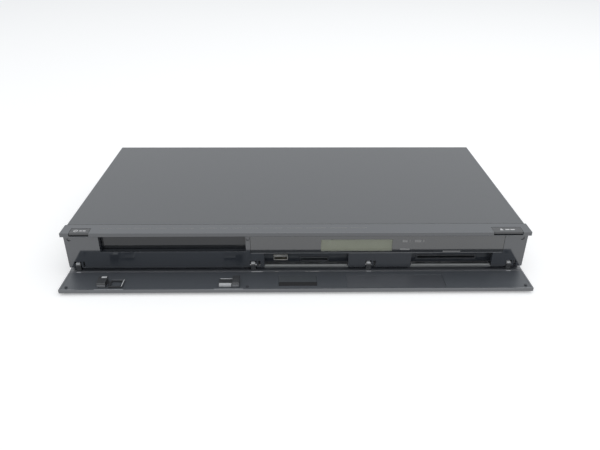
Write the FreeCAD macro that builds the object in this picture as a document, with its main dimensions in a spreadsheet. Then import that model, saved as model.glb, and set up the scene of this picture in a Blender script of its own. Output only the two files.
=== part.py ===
import FreeCAD, Part
import math
import operator
import os
import types

import Sketcher
from FreeCAD import Placement, Rotation, Vector

# A disc recorder with a hard drive, a disc tray and a flap that folds down over its front.
# The frame has X across the front, Y from the front to the back and Z up. The origin lies on
# the table, midway between the open flap's edge and the tips of the rear sockets.
# Depths are measured back from the front edge of the top lip.

os.makedirs("parts", exist_ok=True)
doc = FreeCAD.newDocument("DiscRecorder")
sheet = doc.addObject("Spreadsheet::Sheet", "Sizes")

# Driving dimensions in millimetres and degrees: name, value, what it measures.
SIZES = [
    ("body_width", 430.0, "width over the lip and the flap"),
    ("body_height", 49.0, "table to the top cover"),
    ("body_depth", 215.0, "lip to the back of the top cover"),
    ("lip_front_y", -98.8, "place of the lip's front edge"),
    ("cover_sheet", 0.8, "steel of the top cover"),
    ("cover_inset", 0.9, "step from the strip's end to the cover's side"),
    ("cover_skirt_bottom", 6.6, "height of the cover's lower edge"),
    ("cover_seam", 0.5, "gap between the strip and the cover"),
    ("cover_flange", 8.0, "height of the cover's rear flange"),
    ("cover_bend", 1.4, "outer radius of the cover's bends"),
    ("chassis_sheet", 0.8, "steel of the chassis and the rear panel"),
    ("chassis_front", 15.0, "depth of the chassis's front edge"),
    ("chassis_side", 10.0, "height of the chassis's side flanges"),
    ("chassis_front_flange", 3.9, "height of the chassis's front flange"),
    ("fit_gap", 0.3, "clearance between pieces that don't touch"),
    ("foot_height", 5.0, "height of a foot"),
    ("foot_radius", 15.0, "radius of a foot where it meets the chassis"),
    ("foot_side_inset", 45.0, "end of the body to a foot's centre"),
    ("foot_front_depth", 36.0, "depth of the front feet"),
    ("foot_rear_depth", 190.0, "depth of the rear feet"),
    ("screw_radius", 1.5, "shank of a cover screw"),
    ("screw_head_radius", 3.2, "head of a cover screw"),
    ("screw_head", 0.7, "thickness of a screw head"),
    ("lip_height", 3.9, "height of the lip's front face"),
    ("strip_depth", 16.5, "depth of the moulded strip on top"),
    ("strip_thickness", 2.5, "thickness of the strip"),
    ("wall_setback", 4.2, "lip to the front wall"),
    ("wall_thickness", 2.5, "thickness of the front wall"),
    ("wall_bottom", 10.0, "height of the wall's lower edge"),
    ("wall_end_inset", 1.1, "step from the strip's end to the wall's end"),
    ("cheek", 2.0, "thickness of the moulding's side returns"),
    ("ledge_depth", 7.5, "reach of the ledge under the cover"),
    ("ledge_thickness", 1.6, "thickness of that ledge"),
    ("nub_height", 33.4, "height of the side nubs"),
    ("nub_radius", 1.2, "radius of a side nub"),
    ("tray_inset", 99.85, "left end of the body to the middle of the disc tray"),
    ("tray_opening_bottom", 26.8, "height of its lower edge"),
    ("tray_opening_height", 16.6, "height of the opening"),
    ("tunnel_wall", 1.2, "wall of the frame behind the opening"),
    ("tunnel_end", 0.2, "end of that frame to the back of the fascia"),
    ("pillar_width", 4.3, "wall between the tray opening and the display panel"),
    ("panel_inset", 22.0, "right end of the body to the display panel"),
    ("panel_bottom", 24.6, "height of its lower edge"),
    ("panel_height", 18.6, "height of the display panel"),
    ("panel_thickness", 1.4, "thickness of the display panel"),
    ("panel_seam", 0.2, "seam round the display panel"),
    ("window_left", 22.2, "left edge of the display window"),
    ("window_width", 66.3, "width of the window"),
    ("window_bottom", 27.0, "height of its lower edge"),
    ("window_height", 12.3, "height of the window"),
    ("sensor_inset", 45.0, "right end of the body to the remote sensor"),
    ("data_recess_offset", 12.7, "display panel's left edge to the recess with the data socket"),
    ("data_recess_width", 79.0, "width of that recess"),
    ("card_recess_inset", 107.5, "right end of the body to the left end of the other recess"),
    ("card_recess_width", 76.7, "width of that recess"),
    ("recess_depth", 7.8, "wall front to the recess's back"),
    ("recess_wall", 1.5, "wall thickness of the recesses"),
    ("data_offset", 15.3, "recess's left end to the middle of the data socket"),
    ("data_width", 13.1, "width of the data shell"),
    ("data_height", 5.7, "height of the data shell"),
    ("data_bottom", 13.6, "height of the data shell's lower side"),
    ("memory_offset", 47.4, "recess's left end to the middle of the memory card slot"),
    ("memory_width", 25.0, "width of the memory card slot"),
    ("memory_bottom", 12.4, "height of the memory card slot's lower side"),
    ("memory_slot", 2.4, "height of the memory card slot"),
    ("access_offset", 35.0, "recess's left end to the middle of the access card slot"),
    ("access_width", 55.0, "width of the access card slot"),
    ("access_bottom", 14.4, "height of the access card slot's lower side"),
    ("access_slot", 2.6, "height of the access card slot"),
    ("slot_lip", 1.2, "shell round a card slot"),
    ("button_depth", 9.2, "depth of a button on top of the strip"),
    ("button_front", 0.4, "setback of a button's front face"),
    ("button_travel", 0.8, "stroke of a button"),
    ("button_gap", 0.3, "gap round a button"),
    ("button_shell", 1.8, "wall thickness of a button"),
    ("button_web", 0.8, "floor left under a button in the lip"),
    ("power_inset", 8.4, "left end of the body to the power button"),
    ("power_width", 17.3, "width of the power button"),
    ("eject_inset", 34.7, "right end of the body to the eject button's left edge"),
    ("eject_width", 26.5, "width of the eject button"),
    ("pivot_depth", 8.1, "depth of the flap's hinge line"),
    ("pivot_height", 10.0, "height of the flap's hinge line"),
    ("flap_thickness", 3.9, "thickness of the flap"),
    ("flap_wall_gap", 0.4, "closed flap to the front wall"),
    ("flap_lip_gap", 0.5, "closed flap to the lip above"),
    ("flap_closed_bottom", 5.1, "height of the closed flap's lower edge"),
    ("flange_rise", 2.6, "rise of the flap's rear flange"),
    ("flange_slope", 57.9, "slope of the flange"),
    ("flange_corner", 9.57, "depth of the flange's corner"),
    ("flange_bend", 5.0, "radius of the flange's bend"),
    ("liner_rim", 1.5, "rim of the flap round its liner"),
    ("liner_recess", 0.5, "depth of the liner's bed"),
    ("liner_thickness", 0.4, "thickness of the liner"),
    ("liner_back", 1.8, "depth of the liner's rear edge"),
    ("groove_depth", 2.6, "depth of the groove's front side"),
    ("groove_width", 1.2, "width of the groove"),
    ("liner_window_left", 45.6, "left edge of the liner's long window"),
    ("liner_window_width", 90.4, "width of that window"),
    ("liner_window_front", -24.0, "depth of its front edge"),
    ("liner_window_back", -4.0, "depth of its rear edge"),
    ("inlay_left", -17.0, "left edge of the inlay plate"),
    ("inlay_width", 35.0, "width of the inlay plate"),
    ("inlay_back", -4.2, "depth of the inlay's rear edge"),
    ("inlay_front", -21.0, "depth of the inlay's front edge"),
    ("foam_depth", 6.0, "depth of the foam strip on the inlay"),
    ("inlay_bed", 1.2, "depth of the inlay's bed in the flap"),
    ("bumper_radius", 1.3, "radius of a rubber bumper"),
    ("bumper_height", 0.9, "height of a rubber bumper"),
    ("bumper_end_inset", 5.8, "end of the flap to the outer bumpers"),
    ("bumper_wall_height", 40.3, "height at which the bumpers meet the wall"),
    ("dimple_clearance", 0.5, "dimple radius beyond the bumper's"),
    ("arm_width", 4.6, "width of a hinge arm"),
    ("arm_top", 14.6, "height of a hinge arm"),
    ("arm_round", 3.2, "radius of a hinge arm's top"),
    ("arm_gap", 0.5, "gap between an arm and its ears"),
    ("ear_width", 2.0, "width of a hinge ear"),
    ("ear_reach", 2.6, "reach of an ear past the hinge line"),
    ("ear_top", 20.0, "height of an ear's root on the wall"),
    ("pin_radius", 1.25, "radius of a hinge pin"),
    ("running_gap", 0.05, "radial play of a shaft in its bore"),
    ("notch_top", 16.2, "height of the arm notches"),
    ("notch_margin", 0.7, "notch beyond the arm's left side"),
    ("notch_slot", 4.4, "notch beyond the arm's right side"),
    ("arm_left_inset", 9.2, "left end of the flap to the first arm"),
    ("arm_right_inset", 13.55, "right end of the flap to the last arm"),
    ("arm_two_offset", 10.55, "second arm to the recess with the data socket"),
    ("arm_three_share", 0.3305, "place of the third arm between the recesses, as a share"),
    ("guide_height", 5.6, "height of the tray guides on the flap"),
    ("guide_left_offset", 66.15, "middle of the tray to the left tray guide's left side"),
    ("guide_left_width", 7.7, "width of its block"),
    ("guide_front", -22.6, "depth of the guides' front faces"),
    ("guide_back", -12.0, "depth of the guides' rear faces"),
    ("guide_nose", 4.5, "height of the left guide's front face"),
    ("frame_offset", 10.3, "left tray guide to the rectangular frame"),
    ("frame_width", 12.5, "width of that frame"),
    ("frame_bar", 1.3, "bar width of that frame"),
    ("frame_height", 1.6, "height of that frame"),
    ("guide_right_offset", 43.95, "middle of the tray to the right tray guide's left side"),
    ("guide_right_low_width", 12.0, "width of its low block"),
    ("guide_right_low", 3.0, "height of its low block"),
    ("guide_right_arm", 6.3, "width of its tall arm"),
    ("stem_width", 5.0, "width of a button's stem"),
    ("switch_height", 41.0, "height of a switch's plunger at rest"),
    ("vent_first_depth", 96.0, "depth of the first side vent"),
    ("vent_width", 2.6, "width of a vent slot"),
    ("vent_bottom", 20.0, "height of a side vent's lower end"),
    ("vent_length", 18.0, "length of a side vent"),
    ("vent_pitch", 6.0, "spacing of the vent slots"),
    ("screw_front_depth", 50.0, "depth of the front side screws"),
    ("screw_rear_depth", 196.0, "depth of the rear side screws"),
    ("screw_length", 5.0, "length of a cover screw's shank"),
    ("rib_width", 9.0, "width of a pressed rib"),
    ("rib_rise", 1.0, "rise of a pressed rib"),
    ("rib_front", 26.0, "depth of the ribs' front ends"),
    ("rib_rear", 176.0, "depth of the ribs' rear ends"),
    ("floor_vent_offset", 18.0, "hard drive's left side to the first floor vent"),
    ("floor_vent_front", 88.0, "depth of the floor vents' front ends"),
    ("floor_vent_length", 46.0, "length of a floor vent"),
    ("post_width", 5.0, "side of a post under a board or the drive"),
    ("post_inset", 6.0, "post to the edges of what it carries"),
    ("board_bottom", 11.0, "height of the boards' lower sides"),
    ("board_thickness", 1.6, "thickness of a board"),
    ("socket_board_thickness", 0.6, "thickness of the front socket board"),
    ("main_board_gap", 4.65, "disc drive to the main board"),
    ("main_board_width", 110.0, "width of the main board"),
    ("main_board_front", 60.0, "depth of its front edge"),
    ("power_board_inset", 93.0, "right end of the body to the power board's left edge"),
    ("power_board_width", 86.0, "width of the power board"),
    ("power_board_front", 82.0, "depth of its front edge"),
    ("tuner_board_inset", 6.0, "left end of the body to the tuner board"),
    ("tuner_board_width", 163.0, "width of the tuner board"),
    ("tuner_board_front", 189.0, "depth of its front edge"),
    ("aerial_inset", 21.0, "left end of the body to the first aerial socket"),
    ("aerial_pitch", 15.0, "spacing of the aerial sockets"),
    ("aerial_bottom", 20.0, "height of the lower aerial sockets"),
    ("aerial_radius", 4.75, "thread of an aerial socket"),
    ("aerial_length", 10.2, "length of an aerial socket"),
    ("aerial_root", 1.6, "thickness of its hexagon"),
    ("aerial_bore", 3.3, "bore of an aerial socket"),
    ("jack_inset", 75.0, "left end of the body to the first audio jack"),
    ("jack_pitch", 14.0, "spacing of the jacks"),
    ("jack_bottom", 20.0, "height of the lower jacks"),
    ("jack_radius", 4.2, "radius of a jack"),
    ("jack_length", 8.0, "length of a jack"),
    ("video_offset", 60.0, "main board's left edge to the digital video socket"),
    ("video_width", 15.0, "width of its shell"),
    ("video_height", 5.6, "height of its shell"),
    ("network_offset", 28.0, "main board's left edge to the network socket"),
    ("network_width", 16.0, "width of its housing"),
    ("network_height", 13.4, "height of its housing"),
    ("optical_offset", 86.0, "main board's left edge to the optical socket"),
    ("optical_width", 9.7, "width of its housing"),
    ("optical_height", 9.7, "height of its housing"),
    ("socket_depth", 11.0, "depth of a rear socket"),
    ("inlet_inset", 25.0, "right end of the body to the mains inlet"),
    ("inlet_width", 20.0, "width of the inlet"),
    ("inlet_height", 14.0, "height of the inlet"),
    ("inlet_mouth_width", 15.0, "width of its mouth"),
    ("inlet_mouth_height", 8.6, "height of its mouth"),
    ("inlet_mouth_depth", 12.0, "depth of its mouth"),
    ("inlet_pin_pitch", 8.6, "spacing of its pins"),
    ("inlet_pin_radius", 1.2, "radius of a pin"),
    ("chip_height", 2.4, "height of the main chip"),
    ("sink_width", 40.0, "side of the heat sink"),
    ("sink_height", 22.0, "height of the heat sink"),
    ("sink_base", 3.0, "base of the heat sink"),
    ("sink_fin", 1.2, "thickness of a fin"),
    ("sink_pitch", 4.8, "spacing of the fins"),
    ("hard_drive_inset", 203.0, "right end of the body to the hard drive's left side"),
    ("hard_drive_width", 101.6, "width of the hard drive"),
    ("hard_drive_front", 42.0, "depth of its front end"),
    ("hard_drive_length", 147.0, "length of the hard drive"),
    ("hard_drive_height", 26.1, "height of the hard drive"),
    ("bracket_height", 20.3, "height at which the hard drive stands"),
    ("leg_width", 8.0, "width of a bracket leg"),
    ("fan_inset", 139.0, "right end of the body to the fan's left side"),
    ("fan_size", 40.0, "side of the fan"),
    ("fan_depth", 10.0, "depth of the fan"),
    ("fan_bore", 18.6, "bore of the fan frame"),
    ("fan_hub", 8.5, "radius of the fan's hub"),
    ("blade_pitch", 42.0, "pitch of the fan's blades"),
    ("grille_pitch", 4.4, "spacing of the grille's slots"),
    ("front_board_depth", 15.0, "depth of the display board"),
    ("memory_depth", 28.0, "depth of the memory card housing"),
    ("access_depth", 58.0, "depth of the access card housing"),
    ("fascia_depth", 10.4, "depth of the tray fascia's front"),
    ("fascia_overhang", 2.95, "reach of the fascia past each side of the tray's plate"),
    ("fascia_gap", 0.4, "gap round the tray's fascia"),
    ("fascia_thickness", 2.5, "thickness of the tray fascia"),
    ("tray_width", 128.0, "width of the tray's plate"),
    ("tray_length", 165.0, "length of the tray"),
    ("tray_bottom", 30.5, "height of the tray's lower side"),
    ("tray_thickness", 6.0, "thickness of the tray at its rim"),
    ("tray_travel", 136.0, "travel of the tray"),
    ("disc_margin", 2.5, "fascia to the disc well"),
    ("disc_well_radius", 60.5, "radius of the well for 120 mm discs"),
    ("disc_well_depth", 2.6, "depth of that well"),
    ("small_well_radius", 40.5, "radius of the well for 80 mm discs"),
    ("small_well_depth", 1.0, "depth of that well below the large one"),
    ("spindle_slot", 42.0, "width of the tray's slot"),
    ("rail_width", 2.5, "width of a tray rail"),
    ("rail_lift", 0.6, "tray's lower side to the rail"),
    ("rail_height", 2.8, "height of a tray rail"),
    ("rack_offset", 55.0, "tray's middle to the rack's pitch line"),
    ("rack_back", 2.0, "web behind the rack's teeth"),
    ("rack_bottom", 27.6, "height of the rack's lower side"),
    ("gear_depth", 34.0, "depth of the gears' axes"),
    ("gear_module", 1.0, "module of the teeth"),
    ("pressure_angle", 20.0, "pressure angle of the teeth"),
    ("backlash", 0.16, "play between teeth at the pitch line"),
    ("small_teeth", 16, "teeth of the tray gear's small wheel"),
    ("large_teeth", 30, "teeth of its large wheel"),
    ("pinion_teeth", 12, "teeth of the pulley's pinion"),
    ("gear_face", 2.4, "face width of the large wheel"),
    ("gear_axle", 1.5, "radius of a gear's axle"),
    ("pulley_radius", 11.0, "radius of the large pulley"),
    ("pulley_face", 3.4, "height of a pulley"),
    ("motor_pulley_radius", 4.0, "radius of the motor's pulley"),
    ("motor_spacing", 28.0, "pulley axis to the motor's axis"),
    ("belt_width", 1.4, "side of the belt's section"),
    ("belt_groove", 1.0, "depth of the belt's groove"),
    ("motor_radius", 12.0, "radius of the loading motor"),
    ("motor_length", 10.5, "length of the loading motor"),
    ("motor_shaft", 1.0, "radius of its shaft"),
    ("drive_bottom", 9.0, "height of the drive's lower side"),
    ("drive_floor", 2.0, "thickness of the drive's floor"),
    ("drive_front", 14.2, "depth of the drive's front"),
    ("drive_depth", 171.0, "length of the drive frame"),
    ("drive_wall", 3.0, "thickness of the drive's side walls"),
    ("drive_side_gap", 5.5, "tray plate to the side walls"),
    ("drive_top", 43.2, "height of the drive's side walls"),
    ("ledge_bar", 1.5, "thickness of the tray's ledges"),
    ("rear_bar", 12.0, "height of the drive's rear bar"),
    ("cover_rib", 6.0, "width of the drive lid's ribs"),
    ("puck_bottom", 37.6, "height of the clamp's lower side"),
    ("puck_neck", 12.5, "radius of the clamp's neck"),
    ("puck_flange", 1.4, "thickness of the clamp's flange"),
    ("traverse_bottom", 23.0, "height of the traverse frame"),
    ("traverse_plate", 2.0, "thickness of the traverse frame"),
    ("traverse_width", 96.0, "width of the traverse frame"),
    ("traverse_front_depth", 54.0, "depth of its front edge"),
    ("traverse_pivot_depth", 172.0, "depth of its trunnions"),
    ("trunnion_radius", 2.0, "radius of a trunnion"),
    ("trunnion_length", 4.0, "length of a trunnion"),
    ("trunnion_ear", 3.0, "thickness of a trunnion's ear"),
    ("rod_height", 20.0, "height of the sled's rods"),
    ("rod_radius", 1.5, "radius of a rod"),
    ("rod_spacing", 68.0, "distance between the rods"),
    ("sled_inner", 16.5, "spindle to the sled at its inner end"),
    ("sled_length", 30.0, "length of the sled"),
    ("sled_travel", 34.0, "travel of the sled"),
    ("lead_screw_offset", -24.0, "drive's middle to the lead screw"),
    ("lead_screw_radius", 1.5, "radius of the lead screw"),
    ("sled_motor_radius", 2.9, "radius of the sled's motor"),
    ("spindle_motor_radius", 14.0, "radius of the spindle motor"),
    ("spindle_motor_height", 6.0, "height of the spindle motor"),
    ("spindle_shaft", 1.5, "radius of its shaft"),
    ("turntable_radius", 13.5, "radius of the turntable"),
    ("turntable_cone", 7.4, "radius of its centring cone"),
    ("turntable_top", 34.6, "height of the ring that carries the disc"),
    ("cone_rise", 2.4, "rise of the cone over the ring"),
    ("lens_top", 32.2, "height of the lens"),
    ("lens_radius", 3.2, "radius of the lens"),
]

for row, (alias, number, note) in enumerate(SIZES, start=1):
    sheet.set("A%d" % row, note)
    sheet.set("B%d" % row, str(number))
    sheet.setAlias("B%d" % row, alias)
doc.recompute()


# A length that carries its present value and the formula that ties it to the sheet.
class Length:
    actions = {"+": operator.add, "-": operator.sub, "*": operator.mul, "/": operator.truediv}

    def __init__(self, formula, value):
        self.formula = formula
        self.value = value

    def __add__(self, other):
        return joined(self, "+", other)

    def __radd__(self, other):
        return joined(other, "+", self)

    def __sub__(self, other):
        return joined(self, "-", other)

    def __rsub__(self, other):
        return joined(other, "-", self)

    def __mul__(self, other):
        return joined(self, "*", other)

    def __rmul__(self, other):
        return joined(other, "*", self)

    def __truediv__(self, other):
        return joined(self, "/", other)

    def __neg__(self):
        return joined(-1, "*", self)


def as_length(number):
    if isinstance(number, Length):
        return number
    return Length("(%.9g)" % number, float(number))


def joined(left, sign, right):
    left = as_length(left)
    right = as_length(right)
    formula = "(%s %s %s)" % (left.formula, sign, right.formula)
    return Length(formula, Length.actions[sign](left.value, right.value))


def function_of(name, angle, action):
    return Length("%s(%s * 1deg)" % (name, angle.formula), action(math.radians(angle.value)))


def bind(item, slot, length):
    item.setExpression(slot, as_length(length).formula)


size = types.SimpleNamespace(**{alias: Length("Sizes." + alias, number) for alias, number, _ in SIZES})


def back(depth):
    """Y of a point that lies so far behind the lip's front edge."""
    return size.lip_front_y + depth


# Blocks, rods and booleans.
TURN = {
    "x": Rotation(Vector(0, 1, 0), 90),
    "y": Rotation(Vector(1, 0, 0), -90),
    "z": Rotation(),
}


def block(name, x, y, z):
    """A block that fills the space between two x, two y and two z values."""
    item = doc.addObject("Part::Box", name)
    for slot, axis, span in (("Length", "x", x), ("Width", "y", y), ("Height", "z", z)):
        bind(item, slot, span[1] - span[0])
        bind(item, "Placement.Base." + axis, span[0])
    return item


def rod(name, along, x, y, z, radius, sides=0):
    """A rod along one axis, which takes a span while the other two take a centre.

    It is round, or has flat sides where their number is given.
    """
    item = doc.addObject("Part::Prism" if sides else "Part::Cylinder", name)
    if sides:
        item.Polygon = sides
    item.Placement = Placement(Vector(), TURN[along])
    span = {"x": x, "y": y, "z": z}
    low, high = span[along]
    span[along] = low
    bind(item, "Circumradius" if sides else "Radius", radius)
    bind(item, "Height", high - low)
    for axis in "xyz":
        bind(item, "Placement.Base." + axis, span[axis])
    return item


def fused(name, pieces):
    item = doc.addObject("Part::MultiFuse", name)
    item.Shapes = pieces
    return item


def less(name, base, tools):
    """The base with one or more tools cut out of it."""
    item = doc.addObject("Part::Cut", name)
    item.Base = base
    item.Tool = tools[0] if len(tools) == 1 else fused(name + "_tools", tools)
    return item


def spread(middle, width):
    """The two ends of a width about its middle."""
    return (middle - width / 2, middle + width / 2)


# Bodies made of sketches and features.
def body_of(name):
    return doc.addObject("PartDesign::Body", name)


def sketch_on(body, plane, at):
    """An empty sketch on the body's XY, XZ or YZ plane, moved along that plane's axis."""
    sketch = body.newObject("Sketcher::SketchObject", body.Name + "_sketch")
    support = [f for f in body.Origin.OriginFeatures if f.Role == plane + "_Plane"][0]
    sketch.AttachmentSupport = [(support, "")]
    sketch.MapMode = "FlatFace"
    offset = -as_length(at) if plane == "XZ" else as_length(at)
    bind(sketch, ".AttachmentOffset.Base.z", offset)
    return sketch


def pin_down(sketch, index, point, across, along):
    """Fix a point of the sketch at a distance across and along from its origin."""
    for kind, length in (("DistanceX", across), ("DistanceY", along)):
        length = as_length(length)
        number = sketch.addConstraint(Sketcher.Constraint(kind, -1, 1, index, point, length.value))
        sketch.setExpression("Constraints[%d]" % number, length.formula)


def flat(point):
    return Vector(as_length(point[0]).value, as_length(point[1]).value, 0)


def rounded_ends(before, corner, after, radius):
    """Where an arc of this radius meets the two sides of a corner, and its centre."""
    to_before = (before - corner).normalize()
    to_after = (after - corner).normalize()
    half = to_before.getAngle(to_after) / 2
    reach = radius / math.tan(half)
    centre = corner + (to_before + to_after).normalize() * (radius / math.sin(half))
    return corner + to_before * reach, centre, corner + to_after * reach


def heading(point, centre):
    return math.atan2(point.y - centre.y, point.x - centre.x)


def outline(sketch, corners):
    """A closed outline through (across, along) corners; a third value rounds a corner."""
    count = len(corners)
    spots = [flat(corner) for corner in corners]
    starts = []
    ends = []
    arcs = {}
    for index, corner in enumerate(corners):
        starts.append(spots[index])
        ends.append(spots[index])
        if len(corner) == 3:
            arc = rounded_ends(spots[index - 1], spots[index], spots[(index + 1) % count],
                               as_length(corner[2]).value)
            arcs[index] = arc
            ends[index], starts[index] = arc[0], arc[2]
    lines = [sketch.addGeometry(Part.LineSegment(starts[i], ends[(i + 1) % count]))
             for i in range(count)]
    for index, corner in enumerate(corners):
        line_in = lines[index - 1]
        line_out = lines[index]
        if index not in arcs:
            sketch.addConstraint(Sketcher.Constraint("Coincident", line_in, 2, line_out, 1))
            pin_down(sketch, line_out, 1, corner[0], corner[1])
            continue
        spot = sketch.addGeometry(Part.Point(spots[index]), True)
        pin_down(sketch, spot, 1, corner[0], corner[1])
        sketch.addConstraint(Sketcher.Constraint("PointOnObject", spot, 1, line_in))
        sketch.addConstraint(Sketcher.Constraint("PointOnObject", spot, 1, line_out))
        first, centre, last = arcs[index]
        leftward = (first - centre).cross(last - centre).z > 0
        start, end = (first, last) if leftward else (last, first)
        near, far = (1, 2) if leftward else (2, 1)
        whole = Part.Circle(centre, Vector(0, 0, 1), as_length(corner[2]).value)
        arc = sketch.addGeometry(Part.ArcOfCircle(whole, heading(start, centre), heading(end, centre)))
        sketch.addConstraint(Sketcher.Constraint("Tangent", line_in, 2, arc, near))
        sketch.addConstraint(Sketcher.Constraint("Tangent", line_out, 1, arc, far))
        radius = as_length(corner[2])
        number = sketch.addConstraint(Sketcher.Constraint("Radius", arc, radius.value))
        sketch.setExpression("Constraints[%d]" % number, radius.formula)


def oblong(sketch, across, along, radius=None):
    """A rectangle between two values each way, with its corners rounded where a radius is given."""
    corners = [(across[0], along[0]), (across[1], along[0]), (across[1], along[1]), (across[0], along[1])]
    if radius is not None:
        corners = [corner + (radius,) for corner in corners]
    outline(sketch, corners)


def circle(sketch, across, along, radius):
    centre = flat((across, along))
    radius = as_length(radius)
    index = sketch.addGeometry(Part.Circle(centre, Vector(0, 0, 1), radius.value))
    pin_down(sketch, index, 3, across, along)
    number = sketch.addConstraint(Sketcher.Constraint("Radius", index, radius.value))
    sketch.setExpression("Constraints[%d]" % number, radius.formula)


def feature_of(body, kind, sketch, length, turned):
    feature = body.newObject(kind, body.Name + "_feature")
    feature.Profile = sketch
    feature.Reversed = turned
    bind(feature, "Length", length)
    sketch.Visibility = False
    doc.recompute([sketch, feature, body])
    return feature


def is_upright(sketch):
    return sketch.AttachmentSupport[0][0].Role == "XZ_Plane"


def pad(body, sketch, length):
    """Material from the sketch to the right, backwards or upwards."""
    return feature_of(body, "PartDesign::Pad", sketch, length, is_upright(sketch))


def pocket(body, sketch, length):
    """A cut from the sketch to the right, backwards or upwards, which has to cut something."""
    before = body.Shape.Volume
    feature = feature_of(body, "PartDesign::Pocket", sketch, length, not is_upright(sketch))
    if body.Shape.Volume > before - 1e-3:
        raise RuntimeError("a pocket of %s cuts nothing" % body.Name)
    return feature


def repeated(body, feature, axis, step, count):
    """Copies of a feature along one of the body's axes, at an even step."""
    pattern = body.newObject("PartDesign::LinearPattern", body.Name + "_pattern")
    pattern.Originals = [feature]
    direction = [f for f in body.Origin.OriginFeatures if f.Role == axis + "_Axis"][0]
    pattern.Direction = (direction, [""])
    bind(pattern, "Length", as_length(step) * (count - 1))
    pattern.Occurrences = count
    body.Tip = pattern
    doc.recompute([pattern, body])
    return pattern


def move_to(item, x, y, z):
    bind(item, "Placement.Base.x", x)
    bind(item, "Placement.Base.y", y)
    bind(item, "Placement.Base.z", z)


nodes = {}


def node(name, item):
    """Give a finished sub-part its name, under which it is written out."""
    for other in doc.getObjectsByLabel(name):
        other.Label = name + "_blank"
    item.Label = name
    nodes[name] = item
    return item


# Places that several pieces share.
half = size.body_width / 2
wall_front = back(size.wall_setback)
wall_back = wall_front + size.wall_thickness
wall_half = half - size.wall_end_inset
lip_under = size.body_height - size.lip_height
strip_under = size.body_height - size.strip_thickness
strip_back = back(size.strip_depth)
cover_half = half - size.cover_inset
cover_inner = cover_half - size.cover_sheet
cover_front = strip_back + size.cover_seam
cover_back = back(size.body_depth)
cover_under = size.body_height - size.cover_sheet
floor_top = size.foot_height + size.chassis_sheet
rear_outer = cover_back - size.cover_sheet - size.fit_gap
rear_inner = rear_outer - size.chassis_sheet
chassis_half = cover_inner - size.fit_gap
recess_back = wall_front + size.recess_depth
pivot_y = back(size.pivot_depth)
pivot_z = size.pivot_height
tray_centre = size.tray_inset - half
fascia_width = size.tray_width + size.fascia_overhang * 2
tray_opening_x = spread(tray_centre, fascia_width + size.fascia_gap * 2)
tray_opening_top = size.tray_opening_bottom + size.tray_opening_height
panel_left = tray_opening_x[1] + size.pillar_width
panel_right = half - size.panel_inset
panel_top = size.panel_bottom + size.panel_height
window_right = size.window_left + size.window_width
window_top = size.window_bottom + size.window_height
data_left = panel_left + size.data_recess_offset
card_left = half - size.card_recess_inset
recesses = [(data_left, data_left + size.data_recess_width), (card_left, card_left + size.card_recess_width)]
data_x = data_left + size.data_offset
memory_x = data_left + size.memory_offset
access_x = card_left + size.access_offset
between_recesses = recesses[1][0] - recesses[0][1]
arm_middles = [
    size.arm_left_inset - half,
    data_left - size.arm_two_offset,
    recesses[0][1] + between_recesses * size.arm_three_share,
    half - size.arm_right_inset,
]
pillar_x = (tray_opening_x[1] + panel_left) / 2
bumper_middles = [size.bumper_end_inset - half, pillar_x, half - size.bumper_end_inset]
buttons = {
    "power_button": (size.power_inset - half, size.power_inset - half + size.power_width),
    "eject_button": (half - size.eject_inset, half - size.eject_inset + size.eject_width),
}
drive_outer = size.tray_width / 2 + size.drive_side_gap + size.drive_wall
drive_x = spread(tray_centre, drive_outer * 2)
hard_drive_x = (half - size.hard_drive_inset, half - size.hard_drive_inset + size.hard_drive_width)


# The front moulding carries the whole front: the strip and lip along the top, the glossy wall
# with its openings, the frame behind the tray opening, and the ears that hold the flap's pins.
def make_front_moulding():
    body = body_of("front_moulding")
    add_strip_and_wall(body)
    add_tray_tunnel(body)
    cut_arm_notches(body)
    add_hinge_ears(body)
    cut_front_openings(body)
    cut_button_notches(body)
    nubs = [rod("side_nub", "x", (start, start + 1.2), wall_back + 2.5, size.nub_height, size.nub_radius, 12)
            for start in (-wall_half - 0.7, wall_half - 0.5)]
    holes = [rod("ear_bore", "x", spread(middle, size.arm_width * 4), pivot_y, pivot_z, ear_bore, 12)
             for middle in arm_middles]
    holes += [rod("dimple", "y", middle, (wall_front - 0.5, wall_front - 0.1 + size.bumper_height),
                  size.bumper_wall_height, size.bumper_radius + size.dimple_clearance, 16)
              for middle in bumper_middles]
    return node("front_moulding", less("front_moulding_bored", fused("front_whole", [body] + nubs), holes))


def add_strip_and_wall(body):
    lip = back(0)
    sketch = sketch_on(body, "YZ", -half)
    outline(sketch, [
        (lip, lip_under, 0.4),
        (lip, size.body_height, 0.7),
        (strip_back, size.body_height),
        (strip_back, strip_under),
        (wall_back, strip_under),
        (wall_back, lip_under),
    ])
    pad(body, sketch, size.body_width)
    sketch = sketch_on(body, "YZ", -wall_half)
    outline(sketch, [
        (wall_front, size.wall_bottom),
        (wall_back, size.wall_bottom),
        (wall_back, lip_under + 0.5),
        (wall_front, lip_under + 0.5),
    ])
    pad(body, sketch, wall_half * 2)
    ledge_half = cover_inner - size.fit_gap
    sketch = sketch_on(body, "YZ", -ledge_half)
    ledge_top = cover_under - size.fit_gap
    oblong(sketch, (strip_back - 3, strip_back + size.ledge_depth),
           (ledge_top - size.ledge_thickness, ledge_top))
    pad(body, sketch, ledge_half * 2)
    for left in (-wall_half, wall_half - size.cheek):
        sketch = sketch_on(body, "YZ", left)
        oblong(sketch, (wall_back - 0.5, strip_back), (size.wall_bottom, strip_under + 0.5))
        pad(body, sketch, size.cheek)


def add_tray_tunnel(body):
    wall = size.tunnel_wall
    sketch = sketch_on(body, "XZ", wall_back - 0.5)
    oblong(sketch, (tray_opening_x[0] - wall, tray_opening_x[1] + wall),
           (size.tray_opening_bottom - wall, tray_opening_top + wall))
    pad(body, sketch, fascia_back - size.tunnel_end - wall_back + 0.5)


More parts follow.
